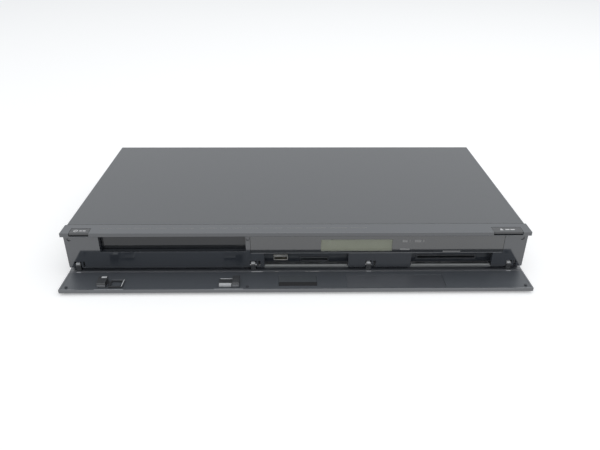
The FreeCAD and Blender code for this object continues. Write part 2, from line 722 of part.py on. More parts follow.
def cut_arm_notches(body):
    sketch = sketch_on(body, "XZ", wall_front - 1)
    for middle in arm_middles:
        left, right = spread(middle, size.arm_width)
        oblong(sketch, (left - size.notch_margin, right + size.notch_slot),
               (size.wall_bottom - 1, size.notch_top))
    pocket(body, sketch, size.wall_thickness + 1)


def add_hinge_ears(body):
    inner = size.arm_width / 2 + size.arm_gap
    for middle in arm_middles:
        for left in (middle - inner - size.ear_width, middle + inner):
            sketch = sketch_on(body, "YZ", left)
            reach = size.ear_reach
            outline(sketch, [
                (pivot_y - reach, size.ear_top),
                (pivot_y - reach, pivot_z - reach * 0.41),
                (pivot_y - reach * 0.41, pivot_z - reach),
                (pivot_y + reach * 0.41, pivot_z - reach),
                (pivot_y + reach, pivot_z - reach * 0.41),
                (pivot_y + reach, size.ear_top),
            ])
            pad(body, sketch, size.ear_width)


def cut_front_openings(body):
    sketch = sketch_on(body, "XZ", wall_front - 1)
    oblong(sketch, tray_opening_x, (size.tray_opening_bottom, tray_opening_top))
    pocket(body, sketch, fascia_back - wall_front + 1)
    sketch = sketch_on(body, "XZ", wall_front - 1)
    for span in recesses:
        oblong(sketch, span, (size.wall_bottom - 1, size.panel_bottom))
    pocket(body, sketch, size.wall_thickness + 1)
    sketch = sketch_on(body, "XZ", wall_front - 1)
    oblong(sketch, (panel_left, panel_right), (size.panel_bottom, panel_top))
    pocket(body, sketch, size.panel_thickness + 1.1)
    sketch = sketch_on(body, "XZ", wall_front)
    oblong(sketch, (size.window_left - 1, window_right + 1), (size.window_bottom - 1, window_top + 1))
    pocket(body, sketch, size.wall_thickness + 1)


def cut_button_notches(body):
    for left, right in buttons.values():
        sketch = sketch_on(body, "YZ", left - size.button_gap)
        oblong(sketch, (back(-1), back(size.button_front + size.button_depth + size.button_gap)),
               (lip_under + size.button_web, size.body_height + 1))
        pocket(body, sketch, right - left + size.button_gap * 2)


fascia_front = back(size.fascia_depth)
fascia_back = fascia_front + size.fascia_thickness
ear_bore = (size.pin_radius + size.running_gap) * 1.035
make_front_moulding()


# The two wells behind the wall's lower openings hold the sockets and card slots in their backs.
def make_front_wells():
    holes = [
        (data_x, size.data_width, size.data_bottom, size.data_height, size.panel_seam),
        (memory_x, size.memory_width, size.memory_bottom, size.memory_slot, size.slot_lip + size.panel_seam),
        (access_x, size.access_width, size.access_bottom, size.access_slot, size.slot_lip + size.panel_seam),
    ]
    wall = size.recess_wall
    wells = []
    for number, (left, right) in enumerate(recesses):
        shell = block("well_shell", (left - wall, right + wall), (wall_back, recess_back + wall),
                      (size.wall_bottom, size.panel_bottom + wall))
        tools = [block("well_room", (left, right), (wall_back - 1, recess_back),
                       (size.wall_bottom - 1, size.panel_bottom))]
        for middle, width, bottom, height, shell_gap in (holes[:2], holes[2:])[number]:
            tools.append(block("well_hole", spread(middle, width + shell_gap * 2),
                               (recess_back - 0.5, recess_back + wall + 0.5),
                               (bottom - shell_gap, bottom + height + shell_gap)))
        wells.append(less("well_%d" % number, shell, tools))
    return node("front_wells", fused("front_wells", wells))


make_front_wells()


# The smoked display panel lies in the wall's bed and has a clear pane in front of the display.
def make_display_panel():
    body = body_of("display_panel")
    sketch = sketch_on(body, "XZ", wall_front)
    seam = size.panel_seam
    oblong(sketch, (panel_left + seam, panel_right - seam),
           (size.panel_bottom + seam, panel_top - seam))
    pad(body, sketch, size.panel_thickness)
    sketch = sketch_on(body, "XZ", wall_front - 1)
    oblong(sketch, (size.window_left, window_right), (size.window_bottom, window_top))
    pocket(body, sketch, size.panel_thickness + 2)
    return node("display_panel", body)


make_display_panel()
node("display_window", block(
    "display_window",
    (size.window_left, window_right),
    (wall_front + 0.1, wall_front + size.panel_thickness + 1.2),
    (size.window_bottom, window_top)))


# The flap lies open in front. Closed, it turns up by a quarter about its hinge line, so its
# open shape follows from where the closed flap has to be.
def open_depth(closed_height):
    """Depth at which a point of the open flap lies, from its height on the closed flap."""
    return size.pivot_depth + pivot_z - closed_height


flap_inner = pivot_z - size.pivot_depth + size.wall_setback - size.flap_wall_gap
flap_outer = flap_inner - size.flap_thickness
flap_free = back(open_depth(lip_under - size.flap_lip_gap))
flap_rear = back(open_depth(size.flap_closed_bottom))
flange_reach = size.flange_rise / function_of("tan", size.flange_slope, math.tan)
flange_edge = (back(size.flange_corner) + flange_reach, flap_inner + size.flange_rise)
liner_bed = flap_inner - size.liner_recess
liner_top = liner_bed + size.liner_thickness
inlay_x = (size.inlay_left, size.inlay_left + size.inlay_width)


def make_flap_panel():
    body = body_of("flap_panel")
    sketch = sketch_on(body, "YZ", -half)
    outline(sketch, [
        (flap_free, flap_outer, 0.8),
        (flap_free, flap_inner, 0.4),
        (back(size.flange_corner), flap_inner, size.flange_bend),
        flange_edge,
        (flap_rear, flange_edge[1], 1.0),
        (flap_rear, flap_outer, 2.0),
    ])
    pad(body, sketch, size.body_width)
    sketch = sketch_on(body, "XY", liner_bed)
    oblong(sketch, (size.liner_rim - half, half - size.liner_rim),
           (flap_free + size.liner_rim, back(size.liner_back)))
    pocket(body, sketch, size.liner_recess + 1)
    sketch = sketch_on(body, "XY", liner_bed)
    oblong(sketch, (-half - 1, half + 1),
           (back(size.groove_depth), back(size.groove_depth + size.groove_width)))
    pocket(body, sketch, size.liner_recess + 1)
    sketch = sketch_on(body, "XY", flap_inner - size.inlay_bed)
    oblong(sketch, (inlay_x[0] - size.panel_seam, inlay_x[1] + size.panel_seam),
           (back(size.inlay_front) - size.panel_seam, back(size.inlay_back) + size.panel_seam))
    pocket(body, sketch, size.inlay_bed + 1)
    return node("flap_panel", body)


def make_flap_liner():
    body = body_of("flap_liner")
    sketch = sketch_on(body, "XY", liner_bed)
    gap = size.panel_seam / 2
    oblong(sketch, (size.liner_rim - half + gap, half - size.liner_rim - gap),
           (flap_free + size.liner_rim + gap, back(size.liner_back) - gap))
    pad(body, sketch, size.liner_thickness)
    sketch = sketch_on(body, "XY", liner_bed - 0.5)
    oblong(sketch, (size.liner_window_left, size.liner_window_left + size.liner_window_width),
           (back(size.liner_window_front), back(size.liner_window_back)))
    oblong(sketch, (inlay_x[0] - size.panel_seam, inlay_x[1] + size.panel_seam),
           (back(size.inlay_front) - size.panel_seam, back(size.inlay_back) + size.panel_seam))
    pocket(body, sketch, size.liner_thickness + 1)
    return node("flap_liner", body)


make_flap_panel()
make_flap_liner()

foam_back = back(size.inlay_front) + size.foam_depth
node("flap_inlay", block("flap_inlay", inlay_x, (foam_back, back(size.inlay_back)),
                         (flap_inner - size.inlay_bed, liner_top)))
node("flap_foam", block("flap_foam", inlay_x, (back(size.inlay_front), foam_back),
                        (flap_inner - size.inlay_bed, liner_top)))
node("flap_bumpers", fused("flap_bumpers", [
    rod("flap_bumper", "z", middle, back(open_depth(size.bumper_wall_height)),
        (liner_top, flap_inner + size.bumper_height), size.bumper_radius, 12)
    for middle in bumper_middles]))


# Four arms stand on the flap's rear edge and turn on steel pins held by the moulding's ears.
def make_hinge_arm(middle, number):
    body = body_of("hinge_arm_%d" % number)
    sketch = sketch_on(body, "YZ", middle - size.arm_width / 2)
    front = wall_front + 0.1
    rear = flap_rear - 1.0
    outline(sketch, [
        (front, flap_inner),
        (front, size.arm_top, size.arm_round),
        (pivot_y + size.arm_round, size.arm_top, size.arm_round),
        (rear, flange_edge[1] + 1.5),
        (rear, flange_edge[1]),
        flange_edge,
        (back(size.flange_corner), flap_inner, size.flange_bend),
    ])
    pad(body, sketch, size.arm_width)
    sketch = sketch_on(body, "YZ", middle - size.arm_width)
    circle(sketch, pivot_y, pivot_z, size.pin_radius + size.running_gap)
    pocket(body, sketch, size.arm_width * 2)
    return body


node("flap_hinge_arms", fused("flap_hinge_arms", [
    make_hinge_arm(middle, number) for number, middle in enumerate(arm_middles, start=1)]))

pin_half = size.arm_width / 2 + size.arm_gap + size.ear_width
node("hinge_pins", fused("hinge_pins", [
    rod("hinge_pin", "x", (middle - pin_half, middle + pin_half), pivot_y, pivot_z, size.pin_radius, 12)
    for middle in arm_middles]))


# Two guides on the flap steer it down as the tray comes out and slides over it.
def make_left_guide():
    body = body_of("left_guide")
    guide_left = tray_centre - size.guide_left_offset
    frame_left = guide_left + size.frame_offset
    sketch = sketch_on(body, "YZ", guide_left)
    outline(sketch, [
        (back(size.guide_front), liner_top),
        (back(size.guide_front), liner_top + size.guide_nose, 0.6),
        (back(size.guide_back) - 3, liner_top + size.guide_height, 1.0),
        (back(size.guide_back), liner_top + size.guide_height, 0.6),
        (back(size.guide_back), liner_top),
    ])
    pad(body, sketch, size.guide_left_width)
    frame_right = frame_left + size.frame_width
    frame_y = (back(size.guide_front) - 0.9, back(size.guide_back) - 1.0)
    sketch = sketch_on(body, "XY", liner_top)
    oblong(sketch, (guide_left + size.guide_left_width - 1, frame_left + 1),
           (frame_y[1] - 4, frame_y[1] - 1))
    pad(body, sketch, size.frame_height / 2)
    sketch = sketch_on(body, "XY", liner_top)
    oblong(sketch, (frame_left, frame_right), frame_y)
    pad(body, sketch, size.frame_height)
    sketch = sketch_on(body, "XY", liner_top - 1)
    oblong(sketch, (frame_left + size.frame_bar, frame_right - size.frame_bar),
           (frame_y[0] + size.frame_bar, frame_y[1] - size.frame_bar))
    pocket(body, sketch, size.frame_height + 2)
    return body


def make_right_guide():
    body = body_of("right_guide")
    guide_left = tray_centre + size.guide_right_offset
    arm_left = guide_left + size.guide_right_low_width
    sketch = sketch_on(body, "YZ", guide_left)
    outline(sketch, [
        (back(size.guide_front), liner_top),
        (back(size.guide_front), liner_top + size.guide_right_low, 0.5),
        (back(size.guide_back), liner_top + size.guide_right_low * 0.7, 0.5),
        (back(size.guide_back), liner_top),
    ])
    pad(body, sketch, size.guide_right_low_width + 0.5)
    sketch = sketch_on(body, "YZ", arm_left)
    outline(sketch, [
        (back(size.guide_front) - 0.6, liner_top),
        (back(size.guide_front) - 0.6, liner_top + size.guide_nose, 1.0),
        (back(size.guide_back) - 4, liner_top + size.guide_height, 1.5),
        (back(size.guide_back) + 0.5, liner_top + size.guide_height, 0.8),
        (back(size.guide_back) + 0.5, liner_top),
    ])
    pad(body, sketch, size.guide_right_arm)
    return body


node("tray_guides", fused("tray_guides", [make_left_guide(), make_right_guide()]))

# Each button is a cap over the lip's corner with a stem that reaches down to its switch.
stem_depth = size.button_front + size.button_depth - size.button_shell


def make_button(name, span):
    body = body_of(name)
    front = back(size.button_front)
    rear = back(size.button_front + size.button_depth)
    sketch = sketch_on(body, "YZ", span[0])
    outline(sketch, [
        (front, lip_under + size.button_web + size.button_travel + 0.2, 0.3),
        (front, size.body_height, 0.7),
        (rear, size.body_height, 0.3),
        (rear, size.body_height - size.button_shell),
        (front + size.button_shell, size.body_height - size.button_shell),
        (front + size.button_shell, lip_under + size.button_web + size.button_travel + 0.2),
    ])
    pad(body, sketch, span[1] - span[0])
    sketch = sketch_on(body, "XY", switch_top + 0.1)
    oblong(sketch, spread((span[0] + span[1]) / 2, size.stem_width),
           (back(stem_depth), back(stem_depth + size.button_shell)))
    pad(body, sketch, size.body_height - size.button_shell / 2 - switch_top - 0.1)
    return node(name, body)


switch_top = size.switch_height
for button_name, button_span in buttons.items():
    make_button(button_name, button_span)


# The top cover is one folded sheet: top, two sides with vents, and a flange down the back.
def make_top_cover():
    body = body_of("top_cover")
    sketch = sketch_on(body, "XZ", cover_front)
    inner_bend = size.cover_bend - size.cover_sheet
    outline(sketch, [
        (-cover_half, size.cover_skirt_bottom),
        (-cover_half, size.body_height, size.cover_bend),
        (cover_half, size.body_height, size.cover_bend),
        (cover_half, size.cover_skirt_bottom),
        (cover_inner, size.cover_skirt_bottom),
        (cover_inner, cover_under, inner_bend),
        (-cover_inner, cover_under, inner_bend),
        (-cover_inner, size.cover_skirt_bottom),
    ])
    pad(body, sketch, cover_back - cover_front)
    sketch = sketch_on(body, "XZ", cover_back - size.cover_sheet)
    oblong(sketch, (-cover_inner - 0.4, cover_inner + 0.4),
           (size.body_height - size.cover_flange, cover_under + 0.4))
    pad(body, sketch, size.cover_sheet)
    sketch = sketch_on(body, "YZ", -cover_half - 1)
    oblong(sketch, spread(back(size.vent_first_depth), size.vent_width),
           (size.vent_bottom, size.vent_bottom + size.vent_length))
    slot = pocket(body, sketch, cover_half * 2 + 2)
    repeated(body, slot, "Y", size.vent_pitch, 9)
    return node("top_cover", body)


make_top_cover()
side_screw_depths = [size.screw_front_depth, size.screw_rear_depth]
rear_screw_places = [-cover_half * 0.86, as_length(0), cover_half * 0.86]
screw_z = size.foot_height + size.chassis_side - 3.5
flange_screw_z = size.body_height - size.cover_flange / 2


def make_cover_screws():
    screws = []
    for depth in side_screw_depths:
        for side in (-1, 1):
            face = cover_half * side
            far = face + size.screw_head * side
            near = face - size.screw_length * side
            low, high = (far, face) if side < 0 else (face, far)
            screws.append(rod("screw_head", "x", (low, high), back(depth), screw_z,
                              size.screw_head_radius, 12))
            low, high = (face, near) if side < 0 else (near, face)
            screws.append(rod("screw_shank", "x", (low, high), back(depth), screw_z, size.screw_radius, 8))
    for place in rear_screw_places:
        screws.append(rod("screw_head", "y", place, (cover_back, cover_back + size.screw_head),
                          flange_screw_z, size.screw_head_radius, 12))
        screws.append(rod("screw_shank", "y", place, (cover_back - size.screw_length, cover_back),
                          flange_screw_z, size.screw_radius, 8))
    return node("cover_screws", fused("cover_screws", screws))


def drilled(name, item, along_x=(), along_y=(), more=()):
    """The item with clearance holes for screws along X and Y, and any more holes."""
    radius = size.screw_radius + size.running_gap
    tools = [rod(name + "_hole", "x", (-half, half), y, z, radius, 8) for y, z in along_x]
    tools += [rod(name + "_hole", "y", x, (rear_inner - 8, cover_back + 2), z, radius, 8) for x, z in along_y]
    return node(name, less(name + "_drilled", item, tools + list(more)))


side_screws = [(back(depth), screw_z) for depth in side_screw_depths]
rear_screws = [(place, flange_screw_z) for place in rear_screw_places]
make_cover_screws()
drilled("top_cover", nodes["top_cover"], side_screws, rear_screws)


# The chassis is pressed from sheet: a ribbed floor with vents and flanges on three sides.
def make_bottom_chassis():
    body = body_of("bottom_chassis")
    sheet_gauge = size.chassis_sheet
    front = back(size.chassis_front)
    rear = rear_inner - size.fit_gap
    sketch = sketch_on(body, "XZ", front)
    oblong(sketch, (-chassis_half, chassis_half), (size.foot_height, floor_top))
    pad(body, sketch, rear - front)
    side_front = strip_back + size.fit_gap
    sketch = sketch_on(body, "XZ", side_front)
    for left in (-chassis_half, chassis_half - sheet_gauge):
        oblong(sketch, (left, left + sheet_gauge), (size.foot_height, size.foot_height + size.chassis_side))
    pad(body, sketch, rear - side_front)
    sketch = sketch_on(body, "XZ", back(size.chassis_front))
    oblong(sketch, (-chassis_half, chassis_half),
           (size.foot_height, size.foot_height + size.chassis_front_flange))
    pad(body, sketch, sheet_gauge)
    sketch = sketch_on(body, "XY", size.foot_height)
    for middle in rib_middles:
        oblong(sketch, spread(middle, size.rib_width), (back(size.rib_front), back(size.rib_rear)))
    pad(body, sketch, sheet_gauge + size.rib_rise)
    sketch = sketch_on(body, "XY", size.foot_height - 1)
    inner = size.rib_width - sheet_gauge * 2
    for middle in rib_middles:
        oblong(sketch, spread(middle, inner),
               (back(size.rib_front) + sheet_gauge, back(size.rib_rear) - sheet_gauge))
    pocket(body, sketch, size.rib_rise + 1)
    sketch = sketch_on(body, "XY", size.foot_height - 1)
    vent_left = hard_drive_x[0] + size.floor_vent_offset
    oblong(sketch, (vent_left, vent_left + size.vent_width),
           (back(size.floor_vent_front), back(size.floor_vent_front + size.floor_vent_length)))
    slot = pocket(body, sketch, sheet_gauge + 2)
    repeated(body, slot, "X", size.vent_pitch, 10)
    posts = [(board_posts, size.board_bottom), (drive_posts, size.drive_bottom),
             (socket_posts, size.board_bottom - size.socket_board_thickness)]
    for places, top in posts:
        sketch = sketch_on(body, "XY", size.foot_height + 0.1)
        for x, y in places:
            oblong(sketch, spread(x, size.post_width), spread(y, size.post_width))
        pad(body, sketch, top - size.foot_height - 0.1)
    return body


board_z = (size.board_bottom, size.board_bottom + size.board_thickness)
main_board_x = (drive_x[1] + size.main_board_gap, drive_x[1] + size.main_board_gap + size.main_board_width)
main_board_y = (back(size.main_board_front), rear_inner - 1.5)
power_board_x = (half - size.power_board_inset, half - size.power_board_inset + size.power_board_width)
power_board_y = (back(size.power_board_front), rear_inner - 1.5)
tuner_board_x = (size.tuner_board_inset - half, size.tuner_board_inset - half + size.tuner_board_width)
tuner_board_y = (back(size.tuner_board_front), rear_inner - 1.5)
rib_middles = [as_length(0), power_board_x[0] - 5]
socket_board_x = (data_x - 12, memory_x + 26)
socket_board_y = (recess_back + size.recess_wall + size.fit_gap, back(size.chassis_front) + 26)
drive_y = (back(size.drive_front), back(size.drive_front) + size.drive_depth)
inset = size.post_inset


def corners_of(x, y):
    """Four places a little in from the corners of a rectangle."""
    return [(a, b) for a in (x[0] + inset, x[1] - inset) for b in (y[0] + inset, y[1] - inset)]


board_posts = (corners_of(main_board_x, main_board_y) + corners_of(power_board_x, power_board_y)
               + corners_of(tuner_board_x, tuner_board_y))
socket_posts = corners_of(socket_board_x, (socket_board_y[0] + 4, socket_board_y[1]))
drive_posts = corners_of(drive_x, drive_y)
drilled("bottom_chassis", make_bottom_chassis(), side_screws)

foot_places = [(side * (half - size.foot_side_inset), back(depth))
               for side in (-1, 1) for depth in (size.foot_front_depth, size.foot_rear_depth)]


node("feet", fused("feet", [rod("foot", "z", x, y, (0, size.foot_height), size.foot_radius, 24)
                            for x, y in foot_places]))


# The rear panel has a cut-out for every socket and a slotted grille behind the fan.
aerial_left = size.aerial_inset - half
jack_left = size.jack_inset - half
aerial_places = [(aerial_left + size.aerial_pitch * column, size.aerial_bottom + size.aerial_pitch * row)
                 for column in (0, 1) for row in (0, 1)]
jack_places = [(jack_left + size.jack_pitch * column, size.jack_bottom + size.jack_pitch * row)
               for column in range(3) for row in (0, 1)]
fan_x = (half - size.fan_inset, half - size.fan_inset + size.fan_size)
fan_z = (floor_top + size.fit_gap, floor_top + size.fit_gap + size.fan_size)
sockets = {
    "video_socket": (main_board_x[0] + size.video_offset, size.video_width, size.video_height),
    "network_socket": (main_board_x[0] + size.network_offset, size.network_width, size.network_height),
    "optical_socket": (main_board_x[0] + size.optical_offset, size.optical_width, size.optical_height),
}
inlet_middle = half - size.inlet_inset
inlet_x = spread(inlet_middle, size.inlet_width)
inlet_z = (board_z[1], board_z[1] + size.inlet_height)


def make_rear_panel():
    body = body_of("rear_panel")
    sketch = sketch_on(body, "XZ", rear_inner)
    oblong(sketch, (-chassis_half, chassis_half), (size.foot_height, cover_under - size.fit_gap))
    pad(body, sketch, size.chassis_sheet)
    sketch = sketch_on(body, "XZ", rear_inner - 1)
    gap = size.fit_gap
    for middle, width, height in sockets.values():
        oblong(sketch, spread(middle, width + gap * 2), (board_z[1] - gap, board_z[1] + height + gap))
    oblong(sketch, (inlet_x[0] - gap, inlet_x[1] + gap), (inlet_z[0] - gap, inlet_z[1] + gap))
    pocket(body, sketch, size.chassis_sheet + 2)
    sketch = sketch_on(body, "XZ", rear_inner - 1)
    oblong(sketch, (fan_x[0] + 3, fan_x[1] - 3), (fan_z[0] + 3, fan_z[0] + 3 + size.vent_width))
    slot = pocket(body, sketch, size.chassis_sheet + 2)
    repeated(body, slot, "Z", size.grille_pitch, 8)
    return body


round_sockets = [(x, z, size.aerial_radius) for x, z in aerial_places]
round_sockets += [(x, z, size.jack_radius) for x, z in jack_places]
drilled("rear_panel", make_rear_panel(), (), rear_screws, [
    rod("socket_hole", "y", x, (rear_inner - 1, rear_outer + 1), z, radius + size.fit_gap * 1.8, 12)
    for x, z, radius in round_sockets])


# Sockets on the rear. Each threaded aerial socket is turned, with a hexagon at its root.
def make_aerial_sockets():
    pieces = []
    tip = rear_outer + size.aerial_length
    for number, (x, z) in enumerate(aerial_places):
        barrel = rod("aerial_barrel", "y", x, (rear_outer + 0.5, tip), z, size.aerial_radius)
        shank = rod("aerial_shank", "y", x, (tuner_back, rear_outer + 1), z, size.aerial_radius, 12)
        root = doc.addObject("Part::Prism", "aerial_root")
        root.Placement = Placement(Vector(), TURN["y"])
        root.Polygon = 6
        bind(root, "Circumradius", size.aerial_radius + 1.6)
        bind(root, "Height", size.aerial_root)
        move_to(root, x, rear_outer, z)
        bore = rod("aerial_bore", "y", x, (tip - size.aerial_length + 2, tip + 1), z, size.aerial_bore, 12)
        pieces.append(less("aerial_%d" % number, fused("aerial_whole", [barrel, root, shank]), [bore]))
    return node("antenna_sockets", fused("antenna_sockets", pieces))


tuner_back = tuner_board_y[1] - 2
tuner_can_x = (aerial_left - 14, aerial_left + size.aerial_pitch + 14)
node("tuner_module", fused("tuner_module", [
    block("tuner_board", tuner_board_x, tuner_board_y, board_z),
    block("tuner_can", tuner_can_x, (tuner_board_y[0] + 1, tuner_back),
          (board_z[1] - 0.1, size.aerial_bottom + size.aerial_pitch + 7))]))
make_aerial_sockets()


def make_jacks():
    pieces = []
    left = jack_left - 6
    right = jack_left + size.jack_pitch * 2 + 6
    housing = block("jack_housing", (left, right), (tuner_board_y[1] - 10, rear_inner - 0.4),
                    (board_z[1], size.jack_bottom + size.jack_pitch + 6))
    for x, z in jack_places:
        ring = rod("jack_ring", "y", x, (rear_inner - 1, rear_outer + size.jack_length), z,
                   size.jack_radius, 16)
        bore = rod("jack_bore", "y", x, (rear_outer, rear_outer + size.jack_length + 1), z,
                   size.jack_radius * 0.42, 8)
        pieces.append(less("jack", ring, [bore]))
    return node("av_jacks", fused("av_jacks", [housing] + pieces))


make_jacks()


def make_rear_socket(name, depth, inner_width, inner_height, tongue):
    """A shell that is open to the back, with a tongue or nothing inside."""
    middle, width, height = sockets[name]
    shell = block(name + "_shell", spread(middle, width), (rear_outer - depth, rear_outer + 0.6),
                  (board_z[1], board_z[1] + height))
    centre = board_z[1] + height / 2
    mouth = block(name + "_mouth", spread(middle, inner_width), (rear_outer - depth + 1.5, rear_outer + 1),
                  spread(centre, inner_height))
    shape = less(name + "_hollow", shell, [mouth])
    if tongue:
        blade = block(name + "_tongue", spread(middle, inner_width * 0.8),
                      (rear_outer - depth + 1, rear_outer - 1), spread(centre, inner_height * 0.3))
        shape = fused(name + "_whole", [shape, blade])
    return node(name, shape)


make_rear_socket("video_socket", size.socket_depth, size.video_width - 1, size.video_height - 1, True)
make_rear_socket("network_socket", size.socket_depth + 4, size.network_width - 4, size.network_height - 5.5,
                 False)
make_rear_socket("optical_socket", size.socket_depth, size.optical_width - 3, size.optical_height - 3, True)

# The mains inlet takes a two-pole plug.
inlet_centre = (inlet_z[0] + inlet_z[1]) / 2
inlet_mouth = block("inlet_mouth", spread(inlet_middle, size.inlet_mouth_width),
                    (rear_outer - size.inlet_mouth_depth, rear_outer + 3),
                    spread(inlet_centre, size.inlet_mouth_height))
inlet_body = block("inlet_body", inlet_x, (rear_outer - size.inlet_mouth_depth - 3, rear_outer + 1.5),
                   inlet_z)
inlet_pins = [rod("inlet_pin", "y", inlet_middle + side * size.inlet_pin_pitch / 2,
                  (rear_outer - size.inlet_mouth_depth - 1, rear_outer - 2), inlet_centre,
                  size.inlet_pin_radius, 12) for side in (-1, 1)]
node("ac_inlet", fused("ac_inlet", [less("inlet_shell", inlet_body, [inlet_mouth])] + inlet_pins))


# Boards with what stands on them.
def board_with(name, x, y, parts):
    plate = block(name + "_plate", x, y, board_z)
    return node(name, fused(name, [plate] + parts) if parts else plate)


def chip(x, y, width, depth, height):
    return block("chip", spread(x, width), spread(y, depth), (board_z[1] - 0.1, board_z[1] + height))


cpu_x = main_board_x[0] + 20
cpu_y = main_board_y[0] + 50
cpu_top = board_z[1] + size.chip_height
board_with("main_board", main_board_x, main_board_y, [
    chip(cpu_x, cpu_y, 27, 27, size.chip_height),
    chip(cpu_x + 32, cpu_y - 8, 9, 12, 1.2),
    chip(cpu_x + 32, cpu_y + 10, 9, 12, 1.2),
    chip(cpu_x + 4, cpu_y + 34, 20, 14, 1.4),
    chip(cpu_x + 60, cpu_y + 20, 14, 14, 1.4),
])
heat_plate = block("heat_plate", (power_board_x[0] + 14, power_board_x[0] + 17),
                   (power_board_y[0] + 44, power_board_y[0] + 104), (board_z[1] - 0.1, board_z[1] + 26))
capacitors = [
    rod("capacitor", "z", power_board_x[0] + across, power_board_y[0] + along,
        (board_z[1] - 0.1, board_z[1] + height), radius, 12)
    for across, along, radius, height in ((66, 96, 9, 27), (14, 30, 5, 20), (26, 30, 5, 20), (38, 30, 5, 20))]
board_with("power_board", power_board_x, power_board_y, [heat_plate] + capacitors)
node("socket_board", block("socket_board", socket_board_x, socket_board_y,
                           (size.board_bottom - size.socket_board_thickness, size.board_bottom)))


def make_heat_sink():
    body = body_of("heat_sink")
    sketch = sketch_on(body, "XZ", cpu_y - size.sink_width / 2)
    oblong(sketch, spread(cpu_x, size.sink_width), (cpu_top, cpu_top + size.sink_height))
    pad(body, sketch, size.sink_width)
    sketch = sketch_on(body, "XZ", cpu_y - size.sink_width / 2 - 1)
    left = cpu_x - size.sink_width / 2 + size.sink_fin
    oblong(sketch, (left, left + size.sink_pitch - size.sink_fin),
           (cpu_top + size.sink_base, cpu_top + size.sink_height + 1))
    groove = pocket(body, sketch, size.sink_width + 2)
    repeated(body, groove, "X", size.sink_pitch, 8)
    return node("heat_sink", body)


make_heat_sink()

transformer_x = power_board_x[0] + 48
transformer_y = power_board_y[0] + 60
node("power_transformer", fused("power_transformer", [
    block("core", spread(transformer_x, 32), spread(transformer_y, 34), (board_z[1] + 3, board_z[1] + 24)),
    block("winding", spread(transformer_x, 22), spread(transformer_y, 42), (board_z[1], board_z[1] + 20)),
]))
# The hard drive stands on a sheet bracket over the main board.
hard_drive_y = (back(size.hard_drive_front), back(size.hard_drive_front) + size.hard_drive_length)
bracket_top = size.bracket_height
bracket_z = (bracket_top - size.chassis_sheet, bracket_top)


def make_hard_drive():
    body = body_of("hard_drive")
    sketch = sketch_on(body, "XY", bracket_top)
    oblong(sketch, hard_drive_x, hard_drive_y)
    pad(body, sketch, size.hard_drive_height - 1)
    sketch = sketch_on(body, "XY", bracket_top + size.hard_drive_height - 1.5)
    oblong(sketch, (hard_drive_x[0] + 2, hard_drive_x[1] - 2), (hard_drive_y[0] + 2, hard_drive_y[1] - 16))
    pad(body, sketch, 1.5)
    return node("hard_drive", body)


def bracket_leg(x, y):
    leg = block("leg", (x, x + size.chassis_sheet), (y, y + size.leg_width), (floor_top, bracket_z[1]))
    foot = block("leg_foot", (x, x + size.leg_width), (y, y + size.leg_width),
                 (floor_top, floor_top + size.chassis_sheet))
    return fused("bracket_leg", [leg, foot])


make_hard_drive()
bracket_rear = hard_drive_y[1] - size.leg_width
node("hard_drive_bracket", fused("hard_drive_bracket", [
    block("bracket_plate", hard_drive_x, hard_drive_y, bracket_z),
    bracket_leg(hard_drive_x[0] + 2, hard_drive_y[0]),
    bracket_leg(hard_drive_x[1] - size.leg_width - 2, hard_drive_y[0]),
    bracket_leg(main_board_x[1] + 3, bracket_rear),
    bracket_leg(hard_drive_x[1] - size.leg_width - 2, bracket_rear),
]))

# The fan blows out through the rear grille.
fan_y = (rear_inner - size.fit_gap - size.fan_depth, rear_inner - size.fit_gap)
fan_middle = ((fan_x[0] + fan_x[1]) / 2, (fan_z[0] + fan_z[1]) / 2)


def make_fan_frame():
    housing = less("fan_housing", block("fan_block", fan_x, fan_y, fan_z), [
        rod("fan_bore", "y", fan_middle[0], (fan_y[0] - 1, fan_y[1] + 1), fan_middle[1], size.fan_bore, 24)])
    hub = rod("fan_seat", "y", fan_middle[0], (fan_y[1] - 1.6, fan_y[1]), fan_middle[1], size.fan_hub)
    spoke_y = (fan_y[1] - 1.2, fan_y[1])
    spokes = [block("spoke", (fan_x[0] + 1, fan_x[1] - 1), spoke_y, spread(fan_middle[1], 2)),
              block("spoke", spread(fan_middle[0], 2), spoke_y, (fan_z[0] + 1, fan_z[1] - 1))]
    return node("fan_frame", fused("fan_frame", [housing, hub] + spokes))


def wheel_solid(radius, x, y, bottom, top):
    """A plain wheel with 24 flat sides."""
    turns = [math.radians(15 * number) for number in range(24)]
    corners = [Vector(x + radius * math.cos(turn), y + radius * math.sin(turn), bottom) for turn in turns]
    return Part.Face(Part.makePolygon(corners + corners[:1])).extrude(Vector(0, 0, top - bottom))


def make_fan_rotor():
    """Seven flat blades at one pitch about a hub."""
    middle = Vector(fan_middle[0].value, fan_y[0].value + 1, fan_middle[1].value)
    depth = size.fan_depth.value - 4
    root = size.fan_hub.value - 1
    tip = size.fan_bore.value - 1
    hub = wheel_solid(size.fan_hub.value, 0, 0, 0, depth)
    hub.rotate(Vector(), Vector(1, 0, 0), -90)
    hub.translate(middle)
    solids = [hub]
    for number in range(7):
        section = Part.Face(blade_section(root, size.blade_pitch.value, middle, depth))
        blade = section.extrude(Vector(0, 0, tip - root))
        blade.rotate(middle, Vector(0, 1, 0), number * 360 / 7)
        solids.append(blade)
    rotor = doc.addObject("Part::Feature", "fan_rotor")
    rotor.Shape = solids[0].fuse(solids[1:]).removeSplitter()
    return node("fan_rotor", rotor)


